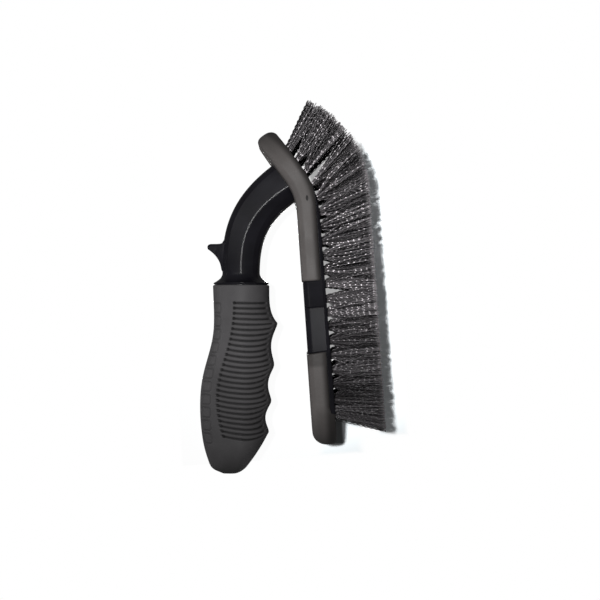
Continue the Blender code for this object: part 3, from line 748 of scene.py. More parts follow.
def grip_point(place, angle):
    """Point on the plain grip at a place along it and an angle from the palm, in degrees."""
    origin, back, palm = grip_axis()
    turn = math.radians(angle)
    full = end_share(place)
    swell = math.sin(math.pi * min(max(place / GRIP_LENGTH, 0.0), 1.0))
    half_width = (GRIP_DIAMETER + (GRIP_WIDTH - GRIP_DIAMETER) * swell) / 2 * full
    top = GRIP_DIAMETER / 2 * smooth_value(PALM_LINE, place / GRIP_LENGTH)
    bottom = -finger_reach(place)
    middle = (top + bottom) / 2 * (1 - full)
    reach = (top - middle) if angle <= 90 else (middle - bottom)
    side = half_width * math.sin(turn)
    return origin + back * place + palm * (middle + reach * math.cos(turn)) + Vector((0, side, 0))


def rib_palm_angle(place):
    """Angle at which the ribs end by the palm: they reach further round the swell."""
    share = min(max((place - RIB_PALM_CENTRE) / RIB_PALM_REACH, -1.0), 1.0)
    return RIB_PALM_ANGLE - RIB_PALM_SWEEP * math.cos(math.pi / 2 * share) ** 2


def grip_mesh():
    """Plain grip whose points know their place, their angle and where the ribs end."""
    ribbed_steps = int(RIBBED_LENGTH / RIBBED_STEP)
    places = [*LIP_PLACES, *(RIBBED_START + RIBBED_STEP * step for step in range(ribbed_steps))]
    last = places[-1]
    places += [last + (GRIP_LENGTH - last) * sine for _, sine in quarter(END_STEPS)[1:]]
    origin, back, _ = grip_axis()
    bm = bmesh.new()
    marks = {name: bm.verts.layers.float.new(name) for name in ("place", "angle", "palm_end")}
    loops = []
    for place in places:
        palm_end = rib_palm_angle(place)
        angles = []
        for start, end, steps in ((0.0, palm_end, PALM_STEPS),
                                  (palm_end, RIB_FINGER_ANGLE, RIB_STEPS),
                                  (RIB_FINGER_ANGLE, 180.0, FINGER_STEPS)):
            angles += [start + (end - start) * step / steps for step in range(steps)]
        angles.append(180.0)
        chamfer = rounding(place, LIP_RADIUS)
        centre = origin + back * place
        half = []
        for angle in angles:
            point = grip_point(place, angle)
            if chamfer:
                point += (centre - point).normalized() * chamfer
            half.append((point, angle))
        other = [(Vector((point.x, -point.y, point.z)), angle) for point, angle in half[-2:0:-1]]
        loop = []
        for point, angle in half + other:
            vertex = bm.verts.new(point)
            vertex[marks["place"]], vertex[marks["angle"]] = place, angle
            vertex[marks["palm_end"]] = palm_end
            loop.append(vertex)
        loops.append(loop)
    skin(bm, loops)
    return finish_mesh(bm, "grip_sleeve_rubber", 60.0)


# Node trees

class Term:
    """Number in a node tree, so that sums can be written as sums."""

    def __init__(self, nodes, socket):
        self.nodes, self.socket = nodes, socket

    def __add__(self, other):
        return self.nodes.math("ADD", self, other)

    def __sub__(self, other):
        return self.nodes.math("SUBTRACT", self, other)

    def __rsub__(self, other):
        return self.nodes.math("SUBTRACT", other, self)

    def __mul__(self, other):
        return self.nodes.math("MULTIPLY", self, other)

    def __truediv__(self, other):
        return self.nodes.math("DIVIDE", self, other)

    def __pow__(self, other):
        return self.nodes.math("POWER", self, other)

    def __abs__(self):
        return self.nodes.math("ABSOLUTE", self)

    def __round__(self):
        return self.nodes.math("ROUND", self)


class Nodes:
    """Adds nodes to a tree and joins them."""

    def __init__(self, tree):
        self.tree = tree

    def put(self, socket, value):
        if isinstance(value, Term):
            value = value.socket
        if isinstance(value, bpy.types.NodeSocket):
            self.tree.links.new(value, socket)
        else:
            socket.default_value = value

    def fill(self, node, values):
        for key, value in dict(values).items():
            self.put(node.inputs[key], value)
        return node

    def add(self, kind, values=(), **fields):
        node = self.tree.nodes.new(kind)
        for name, value in fields.items():
            setattr(node, name, value)
        return self.fill(node, values)

    def make(self, kind, values=(), output=0, **fields):
        """Add a node and give one of its outputs."""
        return Term(self, self.add(kind, values, **fields).outputs[output])

    def math(self, operation, *values):
        return self.make("ShaderNodeMath", enumerate(values), operation=operation)

    def largest(self, first, *others):
        for other in others:
            first = self.math("MAXIMUM", first, other)
        return first

    def held(self, value, low, high):
        return self.math("MINIMUM", self.math("MAXIMUM", value, low), high)

    def distance(self, first, second):
        return self.math("SQRT", first**2.0 + second**2.0)

    def smooth(self, value, low, high, start=0.0, end=1.0):
        """Ease from a start to an end while the value goes from low to high."""
        return self.make("ShaderNodeMapRange", {
            "Value": value, "From Min": low, "From Max": high, "To Min": start, "To Max": end},
            interpolation_type="SMOOTHSTEP")

    def vector(self, operation, *values, output="Vector"):
        return self.make("ShaderNodeVectorMath", enumerate(values), output, operation=operation)

    def scaled(self, vector, factor):
        return self.make("ShaderNodeVectorMath", {0: vector, "Scale": factor}, operation="SCALE")

    def named(self, name, kind="FLOAT"):
        """Value that a mesh's points know by a name, in a geometry tree."""
        return self.make("GeometryNodeInputNamedAttribute", {"Name": name}, data_type=kind)

    def painted(self, name):
        """Value that a mesh's points know by a name, in a material."""
        return self.make("ShaderNodeAttribute", output="Fac", attribute_name=name)

    def place(self):
        return self.make("ShaderNodeTexCoord", output="Object")

    def parts(self, vector):
        """X, Y and Z of a vector."""
        node = self.add("ShaderNodeSeparateXYZ", {0: vector})
        return [Term(self, output) for output in node.outputs]

    def noise(self, scale, detail, roughness=0.5):
        return self.make("ShaderNodeTexNoise", {
            "Vector": self.place(), "Scale": scale, "Detail": detail, "Roughness": roughness})

    def mixed(self, factor, *colours):
        """Colour between two others."""
        first, second = ((*colour, 1.0) if isinstance(colour, tuple) else colour
                         for colour in colours)
        return self.make("ShaderNodeMix", {0: factor, 6: first, 7: second}, 2, data_type="RGBA")

    def mixed_shaders(self, factor, first, second):
        return self.make("ShaderNodeMixShader", {0: factor, 1: first, 2: second})

    def bump(self, height, distance, strength):
        return self.make("ShaderNodeBump", {
            "Height": height, "Distance": distance, "Strength": strength})


def geometry_tree(name, **inputs):
    """Empty geometry tree with a geometry socket at both ends and inputs of given kinds."""
    tree = bpy.data.node_groups.new(name, "GeometryNodeTree")
    face = tree.interface
    face.new_socket("Geometry", in_out="INPUT", socket_type="NodeSocketGeometry")
    for kind, labels in inputs.items():
        for label in labels:
            face.new_socket(label, in_out="INPUT", socket_type=f"NodeSocket{kind}")
    face.new_socket("Geometry", in_out="OUTPUT", socket_type="NodeSocketGeometry")
    nodes = Nodes(tree)
    sizes = {output.name: Term(nodes, output) for output in nodes.add("NodeGroupInput").outputs
             if output.name}
    return tree, nodes, sizes, nodes.add("NodeGroupOutput")


def coat(nodes, out, geometry, material):
    """End a geometry tree in geometry with its material."""
    coated = nodes.make("GeometryNodeSetMaterial", {"Geometry": geometry, "Material": material})
    nodes.put(out.inputs["Geometry"], coated)


def apply_tree(piece, tree, values):
    """Give a piece a geometry tree with its inputs, and turn the result into plain mesh."""
    modifier = piece.modifiers.new(tree.name, "NODES")
    modifier.node_group = tree
    keys = {item.name: item.identifier for item in tree.interface.items_tree
            if item.in_out == "INPUT"}
    for name, value in values.items():
        modifier[keys[name]] = value
    settle(piece)


def rib_tree(material):
    """Bowed ribs with a pit at the palm end of each groove, and outlined cells by the palm."""
    tree, nodes, sizes, out = geometry_tree("Grip ribs", Int=("Rib count", "Cell count"), Float=(
        "Rib start", "Rib pitch", "Rib bow", "Groove width", "Groove depth", "Pit depth",
        "Finger angle", "Cell start", "Cell pitch", "Cell length", "Cell angle", "Cell sweep",
        "Cell line", "Cell depth"))
    place, angle, palm_end = (nodes.named(name) for name in ("place", "angle", "palm_end"))

    def from_nearest(where, label):
        """Distance of a place from the nearest of the evenly spaced ribs or cells."""
        count, start, pitch = (sizes[f"{label} {key}"] for key in ("count", "start", "pitch"))
        nearest = nodes.held(round((where - start) / pitch), 0.0, count - 1.0)
        return abs(where - (nearest * pitch + start))

    past_palm, to_fingers = angle - palm_end, sizes["Finger angle"] - angle
    across = nodes.held(past_palm / (sizes["Finger angle"] - palm_end), 0.0, 1.0)
    arch = across * 4.0 * (1.0 - across)
    rib_distance = from_nearest(place - arch * sizes["Rib bow"] * nodes.smooth(place, 0.0, BOW_END),
                                "Rib")
    groove = nodes.smooth(rib_distance, 0.0, sizes["Groove width"] * 0.5,
                          sizes["Groove depth"], 0.0)
    groove = groove * nodes.smooth(past_palm, 0.5, 4.0) * nodes.smooth(to_fingers, 0.0, 7.0)
    pit_far = nodes.distance(rib_distance / PIT_LENGTH, (past_palm - PIT_ANGLE) / PIT_SWEEP)
    pit = nodes.smooth(pit_far, 0.3, 1.0, sizes["Pit depth"], 0.0)

    along = from_nearest(place, "Cell") - (sizes["Cell length"] * 0.5 - CELL_CORNER)
    round_way = abs(angle - sizes["Cell angle"]) - sizes["Cell sweep"] * 0.5
    aside = round_way * (GRIP_WIDTH / 2 * math.pi / 180) + CELL_CORNER
    outside = nodes.distance(nodes.largest(along, 0.0), nodes.largest(aside, 0.0))
    inside = nodes.math("MINIMUM", nodes.largest(along, aside), 0.0)
    cell = nodes.smooth(abs(outside + inside - CELL_CORNER), 0.0, sizes["Cell line"],
                        sizes["Cell depth"], 0.0)

    depth = nodes.largest(groove, pit, cell)
    inward = nodes.scaled(nodes.make("GeometryNodeInputNormal"), depth * -1.0)
    moved = nodes.make("GeometryNodeSetPosition",
                       {"Geometry": sizes["Geometry"], "Offset": inward})
    carved = nodes.make("GeometryNodeStoreNamedAttribute",
                        {"Geometry": moved, "Name": "groove", "Value": depth})
    coat(nodes, out, nodes.make("GeometryNodeRealizeInstances", {"Geometry": carved}), material)
    return tree


def bristle_tree(material):
    """Crimped filaments that grow from tuft points and end at the trimmed face."""
    tree, nodes, sizes, out = geometry_tree(
        "Bristle tufts", Object=("Trim face",), Int=("Filaments", "Seed", "Segments"),
        Float=("Tuft radius", "Flare", "Scatter", "Side scatter", "Filament radius", "Crimp",
               "Raggedness"))
    points = nodes.make("GeometryNodeMeshToPoints", {"Mesh": sizes["Geometry"]})
    grown = nodes.make("GeometryNodeDuplicateElements",
                       {"Geometry": points, "Amount": sizes["Filaments"]}, domain="POINT")
    index = nodes.make("GeometryNodeInputIndex")

    def chance(offset, low=0.0, high=1.0):
        """Random value of each filament, drawn apart from others by the seed's offset."""
        return nodes.make("FunctionNodeRandomValue", {
            "Seed": sizes["Seed"] + float(offset), "ID": index, 2: low, 3: high}, 1,
            data_type="FLOAT")

    def store(geometry, kind="FLOAT", **values):
        for name, value in values.items():
            geometry = nodes.make("GeometryNodeStoreNamedAttribute", {
                "Geometry": geometry, "Name": name, "Value": value},
                data_type=kind, domain="POINT")
        return geometry

    def way(name):
        return nodes.named(name, "FLOAT_VECTOR")

    def joined(first, first_share, second, second_share):
        return nodes.vector("ADD", nodes.scaled(first, first_share),
                            nodes.scaled(second, second_share))

    # Roots in a disc round the tuft's point, and each filament's lean
    row_along, across = way("row_along"), (0.0, 1.0, 0.0)
    turn, share = chance(1, 0.0, 2 * math.pi), nodes.math("SQRT", chance(2))
    run_share = nodes.math("COSINE", turn) * share
    side_share = nodes.math("SINE", turn) * share
    ahead = nodes.math("GREATER_THAN", run_share, 0.0)
    near_parting = (ahead * nodes.named("parting_ahead")
                    + (1.0 - ahead) * nodes.named("parting_behind"))
    kept = near_parting * -PARTING_CALM + 1.0
    ring = joined(row_along, run_share, across, side_share)
    root = nodes.scaled(ring, sizes["Tuft radius"])
    scatter = chance(3, -1.0, 1.0) * sizes["Scatter"] * kept
    fan = run_share * kept * nodes.named("spread") * FAN_GAIN
    jitter = joined(row_along, scatter + fan, across,
                    chance(4, -1.0, 1.0) * sizes["Side scatter"])
    lean = nodes.vector("NORMALIZE", nodes.vector("ADD", way("heading"), jitter))
    held = nodes.make("GeometryNodeSetPosition", {"Geometry": grown, "Offset": root})
    held = store(held, "FLOAT_VECTOR", lean=lean, ring=ring)
    held = store(held, late=nodes.math("MINIMUM", near_parting, 0.9), shade=chance(5),
                 wave=chance(6, 0.6, 1.2), slip=chance(7, 0.90, 1.12))

    # Length up to the trimmed face, and the way in which it is crimped
    lean = way("lean")
    face = nodes.make("GeometryNodeObjectInfo", {"Object": sizes["Trim face"]}, "Geometry")
    clear = nodes.make("GeometryNodeRaycast", {
        "Target Geometry": face, "Ray Direction": lean, "Ray Length": RAY_LENGTH},
        "Hit Distance")
    held = store(held, reach=clear * (1.0 - chance(9) ** 3.0 * sizes["Raggedness"]))
    axis = nodes.vector("NORMALIZE", nodes.vector("CROSS_PRODUCT", lean, across))
    other = nodes.vector("CROSS_PRODUCT", lean, axis)
    bearing = chance(10, -1.1, 1.1)
    held = store(held, "FLOAT_VECTOR", wave_axis=joined(
        axis, nodes.math("COSINE", bearing), other, nodes.math("SINE", bearing)))

    # One straight filament of length 1, set on every root
    line = nodes.make("GeometryNodeCurvePrimitiveLine", {"Start": (0, 0, 0), "End": (0, 0, 1)})
    cut = nodes.make("GeometryNodeResampleCurve",
                     {"Curve": line, "Count": sizes["Segments"] + 1.0})
    marked = store(cut, along=nodes.make("GeometryNodeSplineParameter", output="Factor"),
                   crest=nodes.math("MODULO", index, 2.0) * 2.0 - 1.0)
    profile = nodes.make("GeometryNodeCurvePrimitiveCircle",
                         {"Resolution": 3, "Radius": sizes["Filament radius"]})
    tube = nodes.make("GeometryNodeCurveToMesh",
                      {"Curve": marked, "Profile Curve": profile, "Fill Caps": True})
    align = nodes.make("FunctionNodeAlignRotationToVector", {"Vector": lean}, axis="Z")
    spin = nodes.make("FunctionNodeAxisAngleToRotation",
                      {"Axis": (0, 0, 1), "Angle": chance(11, 0.0, 2 * math.pi)})
    turned = nodes.make("FunctionNodeRotateRotation", {"Rotation": align, "Rotate By": spin},
                        rotation_space="LOCAL")
    tall = nodes.make("ShaderNodeCombineXYZ", {"X": 1.0, "Y": 1.0, "Z": nodes.named("reach")})
    sown = nodes.make("GeometryNodeInstanceOnPoints", {
        "Points": held, "Instance": tube, "Rotation": turned, "Scale": tall})
    real = nodes.make("GeometryNodeRealizeInstances", {"Geometry": sown})

    # Crimp, uneven spacing of its waves, and flare away from the tuft's middle
    place = nodes.named("along")
    eased_ends = nodes.smooth(place, 0.0, 0.12) * nodes.smooth(place, 1.0, 0.97)
    height = nodes.named("crest") * sizes["Crimp"] * (nodes.named("wave") * eased_ends)
    slid = (place ** nodes.named("slip") - place) * nodes.named("reach")
    early, late = nodes.smooth(place, 0.0, 0.46), nodes.smooth(place, 0.1, 1.0)
    flare = ((late - early) * nodes.named("late") + early) * sizes["Flare"]
    offset = nodes.vector("ADD", nodes.scaled(way("wave_axis"), height),
                          joined(lean, slid, way("ring"), flare))
    waved = nodes.make("GeometryNodeSetPosition", {"Geometry": real, "Offset": offset})
    coat(nodes, out, nodes.make("GeometryNodeSetShadeSmooth",
                                {"Geometry": waved, "Shade Smooth": True}), material)
    return tree


# Materials

def new_material(name):
    material = bpy.data.materials.new(name)
    material.use_nodes = True
    return material, Nodes(material.node_tree), material.node_tree.nodes["Principled BSDF"]


def shaded(colour, factor):
    return tuple(min(channel * factor, 1.0) for channel in colour)


def plastic_material():
    """Moulded black plastic: half gloss with a faint haze and fine handling marks."""
    colour = tuple(settings().plastic_colour)
    material, nodes, shader = new_material("Black plastic")
    haze = nodes.smooth(nodes.noise(60.0, 4.0, 0.6), 0.35, 0.75)
    nodes.fill(shader, {
        "Base Color": nodes.mixed(haze, colour, shaded(colour, 1.7)),
        "Roughness": nodes.smooth(nodes.noise(90.0, 3.0), 0.3, 0.7, 0.29, 0.33),
        "IOR": 1.46, "Normal": nodes.bump(nodes.noise(26.0, 1.0), 0.0008, 1.0)})
    return material


def height_over(nodes, x, z, start, radius):
    """Height of a place over a line that is level up to a start along X and then curves up."""
    ahead = nodes.largest(x - start, 0.0)
    return z - ahead**2.0 * (1 / (2 * radius))


def painted_groove_shade(nodes):
    """Painted shade of the grip, as amounts and levels of tone: its grooves are painted dark."""
    return [(nodes.smooth(nodes.painted("groove"), 0.0001, 0.0010, 0.0, 0.9), 0.22)]


def pad_stains_and_shade(nodes):
    """Gate mark of the pads, and painted shade at their foot, beside the band and towards the nose.
    """
    place = nodes.place()
    x, _, z = nodes.parts(place)
    away = nodes.vector("MULTIPLY", nodes.vector("SUBTRACT", place, GATE), (1.0, 1.0, 2.2))
    far = nodes.vector("LENGTH", away, output="Value")
    height = height_over(nodes, x, z, BEND_X + FRAME_SHIFT.x, BEND_RADIUS)
    front = WINDOW_REAR_X + FRAME_SHIFT.x
    # Painted shade on the rear pad's front end, beside the band
    shade_beside_band = (nodes.smooth(x, front - 0.0095, front - 0.0065, 0.0, 0.75)
            * nodes.smooth(x, front + 0.006, front + 0.010, 1.0, 0.0))
    return [
        (nodes.smooth(far, 0.0013, 0.0020, 0.95, 0.0), 0.08),
        # Painted shade, darker towards the pads' foot
        (nodes.smooth(height, FACE_HEIGHT + 0.0058, FACE_HEIGHT + 0.0010, 0.0, 0.85), 0.18),
        (shade_beside_band, 0.45),
        # Painted shade, darker towards the nose
        (nodes.smooth(x, 0.070, 0.094, 0.0, 0.45), 0.55),
    ]


def rubber_material(name, colour, roughness, stains_and_shade):
    """Matt moulded rubber: fine grain, faint cloudiness, pale specks, and the stains and painted
    shade it is given.
    """
    colour = tuple(colour)
    material, nodes, shader = new_material(name)
    cloud = nodes.smooth(nodes.noise(45.0, 5.0, 0.62), 0.3, 0.72)
    tone = nodes.mixed(cloud, shaded(colour, 0.90), shaded(colour, 1.12))
    speck = nodes.smooth(nodes.noise(1300.0, 2.0, 0.6), 0.60, 0.78) * 0.35
    # The given stains and painted shade darken the tone in their places
    for amount, level in [(speck, 1.6), *stains_and_shade(nodes)]:
        tone = nodes.mixed(amount, tone, shaded(colour, level))
    grain = nodes.noise(1500.0, 2.0) + nodes.noise(420.0, 3.0) * 0.5
    nodes.fill(shader, {
        "Base Color": tone, "Specular IOR Level": 0.32,
        "Roughness": nodes.smooth(nodes.noise(90.0, 4.0), 0.3, 0.7, roughness - 0.05,
                                  roughness + 0.06),
        "Normal": nodes.bump(grain, 0.00012, 0.5)})
    return material


def bristle_material():
    """Grey-black filament: each lighter or darker, with painted glints on crests, paler tips and
    painted light.
    """
    colour, tips = tuple(settings().bristle_colour), tuple(settings().bristle_tip_colour)
    material, nodes, shader = new_material("Bristle filament")
    shade, along, crest = (nodes.painted(name) for name in ("shade", "along", "crest"))
    forward = nodes.parts(nodes.place())[0]
    tone = nodes.mixed(shade**1.5, shaded(colour, 0.12), shaded(colour, 2.1))
    # Painted glints: pale dots on the crests of some filaments, fewest in the rear rows
    painted_glints = (nodes.smooth(shade, 0.60, 0.70) * nodes.smooth(crest, 0.48, 0.72)
              * nodes.smooth(nodes.noise(380.0, 1.0), 0.44, 0.52)
              * nodes.smooth(forward, -0.095, 0.015, 0.15, 1.0)
              * nodes.smooth(forward, 0.062, 0.085, 1.0, 0.85))
    tone = nodes.mixed(painted_glints, tone, shaded(tips, 11.0))
    tone = nodes.mixed(nodes.smooth(along, 0.90, 1.0, 0.0, 0.8), tone, shaded(tips, 2.6))
    # Painted light: the filaments are darkest at the rear, brightest in the middle rows and a
    # little darker by the nose
    painted_light_falloff = (nodes.smooth(forward, -0.070, 0.030, 0.55, 1.45)
              * nodes.smooth(forward, 0.055, 0.080, 1.0, 0.80))
    nodes.fill(shader, {"Base Color": nodes.scaled(tone, painted_light_falloff), "Roughness": 0.30,
                        "Specular IOR Level": 0.55})
    return material


# The pieces

def band_rings():
    """Sections of the bare band, with a rounded edge at both ends."""
    edge = [(BAND_EDGE * (1 - cosine), BAND_EDGE * (1 - sine))
            for cosine, sine in quarter(BAND_EDGE_STEPS)]
    rings = [band_ring(WINDOW_REAR + GAP + lead, WINDOW_SLANT, inset) for lead, inset in edge]
    for step in range(1, BAND_STEPS):
        share = step / BAND_STEPS
        run = WINDOW_REAR + BAND_EDGE + (WINDOW_FRONT - WINDOW_REAR - 2 * BAND_EDGE) * share
        rings.append(band_ring(run, WINDOW_SLANT * (1 - share), 0.0))
    return rings + [band_ring(WINDOW_FRONT - GAP - lead, 0.0, inset)
                    for lead, inset in reversed(edge)]


class TIREBRUSH_OT_body(bpy.types.Operator):
    """Build the moulded body: block, bare band, arm, collar and thumb hook"""
    bl_idname = "tire_brush.body"
    bl_label = "Moulded body"

    def execute(self, context):
        plastic = plastic_material()
        runs = head_runs(REAR_RUN + END_WALL, NOSE_RUN - END_WALL)
        for mesh in (loft("head_block", [block_ring(run) for run in runs], 35.0),
                     loft("bare_band", band_rings()),
                     loft("arched_arm", arm_rings() + collar_rings(), 75.0), hook_mesh()):
            mesh.materials.append(plastic)
            piece = add_piece(mesh.name, mesh, "black_plastic", "brush_body")
            if piece.name in ("head_block", "bare_band"):
                even_shading(piece)
        return {"FINISHED"}


def pad_mesh(name, start, end, slant, cuts):
    """Rubber pad between two runs: rounded by the band and hollow over the block."""
    by_start = start > REAR_RUN
    kept = {}
    for run in head_runs(start, end, (start + PAD_EDGE, end - PAD_EDGE)):
        distance = run - start if by_start else end - run
        kept[round(run, 7)] = (run, slant if distance < PAD_EDGE * 4 else 0.0, distance)
    for cosine, _ in quarter(6)[1:]:
        distance = PAD_EDGE * (1 - cosine)
        run = start + distance if by_start else end - distance
        kept[round(run, 7)] = (run, slant, distance)
    rings = [pad_ring(run, lean, rounding(distance, PAD_EDGE))
             for _, (run, lean, distance) in sorted(kept.items())]
    return carve(name, loft(name, rings), cuts)


class TIREBRUSH_OT_pads(bpy.types.Operator):
    """Build the rubber pads over the nose and over the rear of the head"""
    bl_idname = "tire_brush.pads"
    bl_label = "Rubber pads"

    def execute(self, context):
        rubber = rubber_material("Pad rubber", settings().pad_colour, 0.44, pad_stains_and_shade)
        first, last = REAR_RUN + END_WALL - GAP, NOSE_RUN - END_WALL + GAP
        hollow = [block_ring(run, GAP, CUT_MARGIN) for run in head_runs(first, last)]
        hole = arm_rings(GAP, ARM_HOLE_SHARE)
        front = pad_mesh("nose_pad", WINDOW_FRONT, NOSE_RUN, 0.0,
                         [loft("hollow", hollow), loft("arm_hole", hole)])
        rear = pad_mesh("rear_pad_rubber", REAR_RUN, WINDOW_REAR, WINDOW_SLANT,
                        [loft("hollow", hollow)])
        for mesh, node in ((front, "front_pad"), (rear, "rear_pad")):
            mesh.materials.clear()
            mesh.materials.append(rubber)
            even_shading(add_piece(mesh.name, mesh, "pad_rubber", node))
        return {"FINISHED"}


class TIREBRUSH_OT_grip(bpy.types.Operator):
    """Build the rubber grip with its finger swells, ribs and palm cells"""
    bl_idname = "tire_brush.grip"
    bl_label = "Ribbed grip"

    def execute(self, context):
        chosen = settings()
        rubber = rubber_material("Grip rubber", chosen.grip_colour, 0.50, painted_groove_shade)
        mesh = grip_mesh()
        mesh.materials.append(rubber)
        piece = add_object("grip_sleeve_rubber", mesh)
        apply_tree(piece, rib_tree(rubber), {
            "Rib count": chosen.rib_count, "Rib start": 0.0107, "Rib pitch": chosen.rib_pitch,
            "Rib bow": chosen.rib_bow, "Groove width": 0.0020,
            "Groove depth": chosen.groove_depth, "Pit depth": 0.0017,
            "Finger angle": RIB_FINGER_ANGLE, "Cell count": chosen.cell_count,
            "Cell start": 0.0138, "Cell pitch": chosen.cell_pitch, "Cell length": 0.0058,
            "Cell angle": 30.0, "Cell sweep": 26.0, "Cell line": 0.0008, "Cell depth": 0.0005,
        })
        claim(piece, "grip_rubber", "grip_sleeve")
        return {"FINISHED"}


def strand_lean(run):
    """Angle by which the bristles lean from the face's normal, to the nose or the rear."""
    forward = run + BEND_X - UPRIGHT_X
    if forward >= 0.0:
        return NOSE_LEAN * min(forward / (BEND_X - UPRIGHT_X), 1.0) ** NOSE_LEAN_POWER
    share = forward / (REAR_RUN + REAR_ROW_MARGIN + BEND_X - UPRIGHT_X)
    return -REAR_LEAN * share**REAR_LEAN_POWER


def row_run(row):
    """Run of a row, counted from the rear."""
    first, last = REAR_RUN + REAR_ROW_MARGIN, NOSE_RUN - NOSE_ROW_MARGIN
    return first + (last - first) * row / (ROW_COUNT - 1)


def row_heading(run, side):
    """Way in which a tuft points."""
    lean = strand_lean(run)
    down = face_turn(run) + lean
    outward = math.tan(SIDE_FAN * side / (HEAD_WIDTH / 2)) * math.cos(lean)
    return Vector((math.sin(down), outward, -math.cos(down))).normalized()


def row_tuft_radius(row):
    """Radius of a tuft's foot: thickest in the end rows, thinnest in the rows next to them."""
    middle = (ROW_COUNT - 1) / 2
    if row == 0:
        return REAR_TUFT_RADIUS
    if row == ROW_COUNT - 1:
        return NOSE_TUFT_RADIUS
    return TUFT_RADIUS + (END_TUFT_RADIUS - TUFT_RADIUS) * abs(row - middle) / middle


def row_spread(row):
    """Angle by which a row's filaments fan out to meet those of the next rows."""
    near, far = max(row - 1, 0), min(row + 1, ROW_COUNT - 1)
    apart = row_heading(row_run(near), 0.0).angle(row_heading(row_run(far), 0.0))
    return apart / (far - near) / 2 + ROW_SPREAD


def tuft_points(row):
    """Mesh of a row's tuft points, which know where their filaments head."""
    run = row_run(row)
    reach = head_half_width(run) - TUFT_EDGE_MARGIN - TUFT_RADIUS
    turn = face_turn(run)
    sides = [reach * (2 * tuft / (TUFTS_PER_ROW - 1) - 1) for tuft in range(TUFTS_PER_ROW)]
    mesh = bpy.data.meshes.new(f"tuft_points_{row + 1:02d}")
    mesh.from_pydata([head_point(run, side, ROOT_SINK) + FRAME_SHIFT for side in sides], [], [])
    for name, kind in (("heading", "FLOAT_VECTOR"), ("row_along", "FLOAT_VECTOR"),
                       ("spread", "FLOAT"), ("parting_behind", "FLOAT"),
                       ("parting_ahead", "FLOAT")):
        mesh.attributes.new(name, kind, "POINT")
    for index, side in enumerate(sides):
        mesh.attributes["heading"].data[index].vector = row_heading(run, side)
        mesh.attributes["row_along"].data[index].vector = (math.cos(turn), 0.0, math.sin(turn))
        mesh.attributes["spread"].data[index].value = row_spread(row)
        for name, keep in zip(("parting_behind", "parting_ahead"), PARTINGS.get(row, (0.0, 0.0))):
            mesh.attributes[name].data[index].value = keep
    return mesh


def trim_face():
    """Face that the bristles are trimmed to: level, then rising in front of the bend."""
    profile = [(-0.2, -TRIM_DROP)]
    for step in range(49):
        angle = math.radians(110.0) * step / 48
        profile.append((TRIM_START_X + TRIM_RADIUS * math.sin(angle),
                        TRIM_RADIUS * (1 - math.cos(angle)) - TRIM_DROP))
    bm = bmesh.new()
    sides = [[bm.verts.new((x, y, z)) for x, z in profile] for y in (-0.1, 0.1)]
    for index in range(len(profile) - 1):
        bm.faces.new((sides[0][index], sides[0][index + 1], sides[1][index + 1], sides[1][index]))
    return add_object("trim_face", finish_mesh(bm, "trim_face"))


class TIREBRUSH_OT_bristles(bpy.types.Operator):
    """Build the rows of crimped bristles"""
    bl_idname = "tire_brush.bristles"
    bl_label = "Bristle rows"

    def execute(self, context):
        chosen = settings()
        tree = bristle_tree(bristle_material())
        face = trim_face()
        for row in range(ROW_COUNT):
            radius = row_tuft_radius(row)
            piece = add_object(f"bristle_row_{row + 1:02d}", tuft_points(row))
            apply_tree(piece, tree, {
                "Trim face": face, "Filaments": chosen.filaments,
                "Seed": FIRST_SEED + SEED_STEP * row, "Tuft radius": radius,
                "Flare": chosen.flare + TUFT_RADIUS - radius, "Scatter": SCATTER,
                "Side scatter": SIDE_SCATTER, "Filament radius": chosen.filament_radius,
                "Crimp": chosen.crimp, "Raggedness": RAGGEDNESS, "Segments": SEGMENTS,
            })
            claim(piece, "bristles", f"tuft_row_{row + 1:02d}")
        bpy.data.objects.remove(face, do_unlink=True)
        return {"FINISHED"}


# Surface, light and camera

PHOTO_DISTANCE = 0.85
PHOTO_CENTRE = Vector((-0.0055, 0.0, 0.0441))
PHOTO_ROLL = math.radians(4.0)
FLOOR_Y = 0.0305
FLOOR_GAIN = 1.5
FLOOR_TINT = (0.93, 0.98, 1.0)
FLOOR_HALF = 6.0
# Painted shadow: share by which the surface's colour is darkened beside the head's rear
REAR_PAINTED_SHADOW = 0.82
# Painted shade: share by which the glow is dimmed among the rows
ROW_PAINTED_SHADE = 0.60
HANDLE_SIDE_GLOW = 0.96
SHADOW_START_X = TRIM_START_X - 0.009
WHITE = (1.0, 1.0, 1.0, 1.0)
WORLD_LEVEL = 0.085
LAMP_TARGET = (0.010, 0.0, 0.045)

# Edges of the surface's zones: what is measured, where the zone begins and where it is full
HANDLE_SIDE = ("past_tips", 0.0020, -0.0020)
AMONG_ROWS = (("past_tips", -0.001, -0.006), ("over_face", 0.032, 0.029),
              ("x", 0.084, 0.074), ("x", -0.078, -0.070))
UNDER_REAR = (("x", -0.0735, -0.0775), ("z", 0.010, 0.016), ("z", 0.040, 0.034))
BESIDE_HEAD = (("x", -0.0975, -0.0955), ("z", 0.0222, 0.0242), ("z", 0.031, 0.029))

# White zones: far past the tips, beyond the nose, the rear, the grip and the last row's tips
WHITE_ZONES = (
    (("past_tips", 0.013, 0.018),), (("x", 0.080, 0.097),), (("x", -0.1005, -0.1035),),
    (("z", 0.112, 0.125),), (("x", -0.0905, -0.0945), ("z", 0.013, 0.009)),
)

# Disc lamps: name, place, level, diameter and what they light
DISC_LAMPS = (
    ("flash_gloss", (0.050, -0.50, 0.049), 0.22, 0.03, "GLOSS"),
    ("side_gloss", (0.16, -0.46, 0.30), 0.018, 0.16, "GLOSS"),
    ("back_lamp", (-0.10, 0.58, 0.26), 1.25, 0.20, "FORM"),
    ("back_gloss", (0.066, 0.50, 0.052), 0.14, 0.05, "GLOSS"),
    ("top_lamp", (0.10, 0.0, 0.85), 0.38, 0.40, "FORM"),
    ("low_lamp", (0.0, 0.28, -0.75), 0.65, 0.40, "FORM"),
)


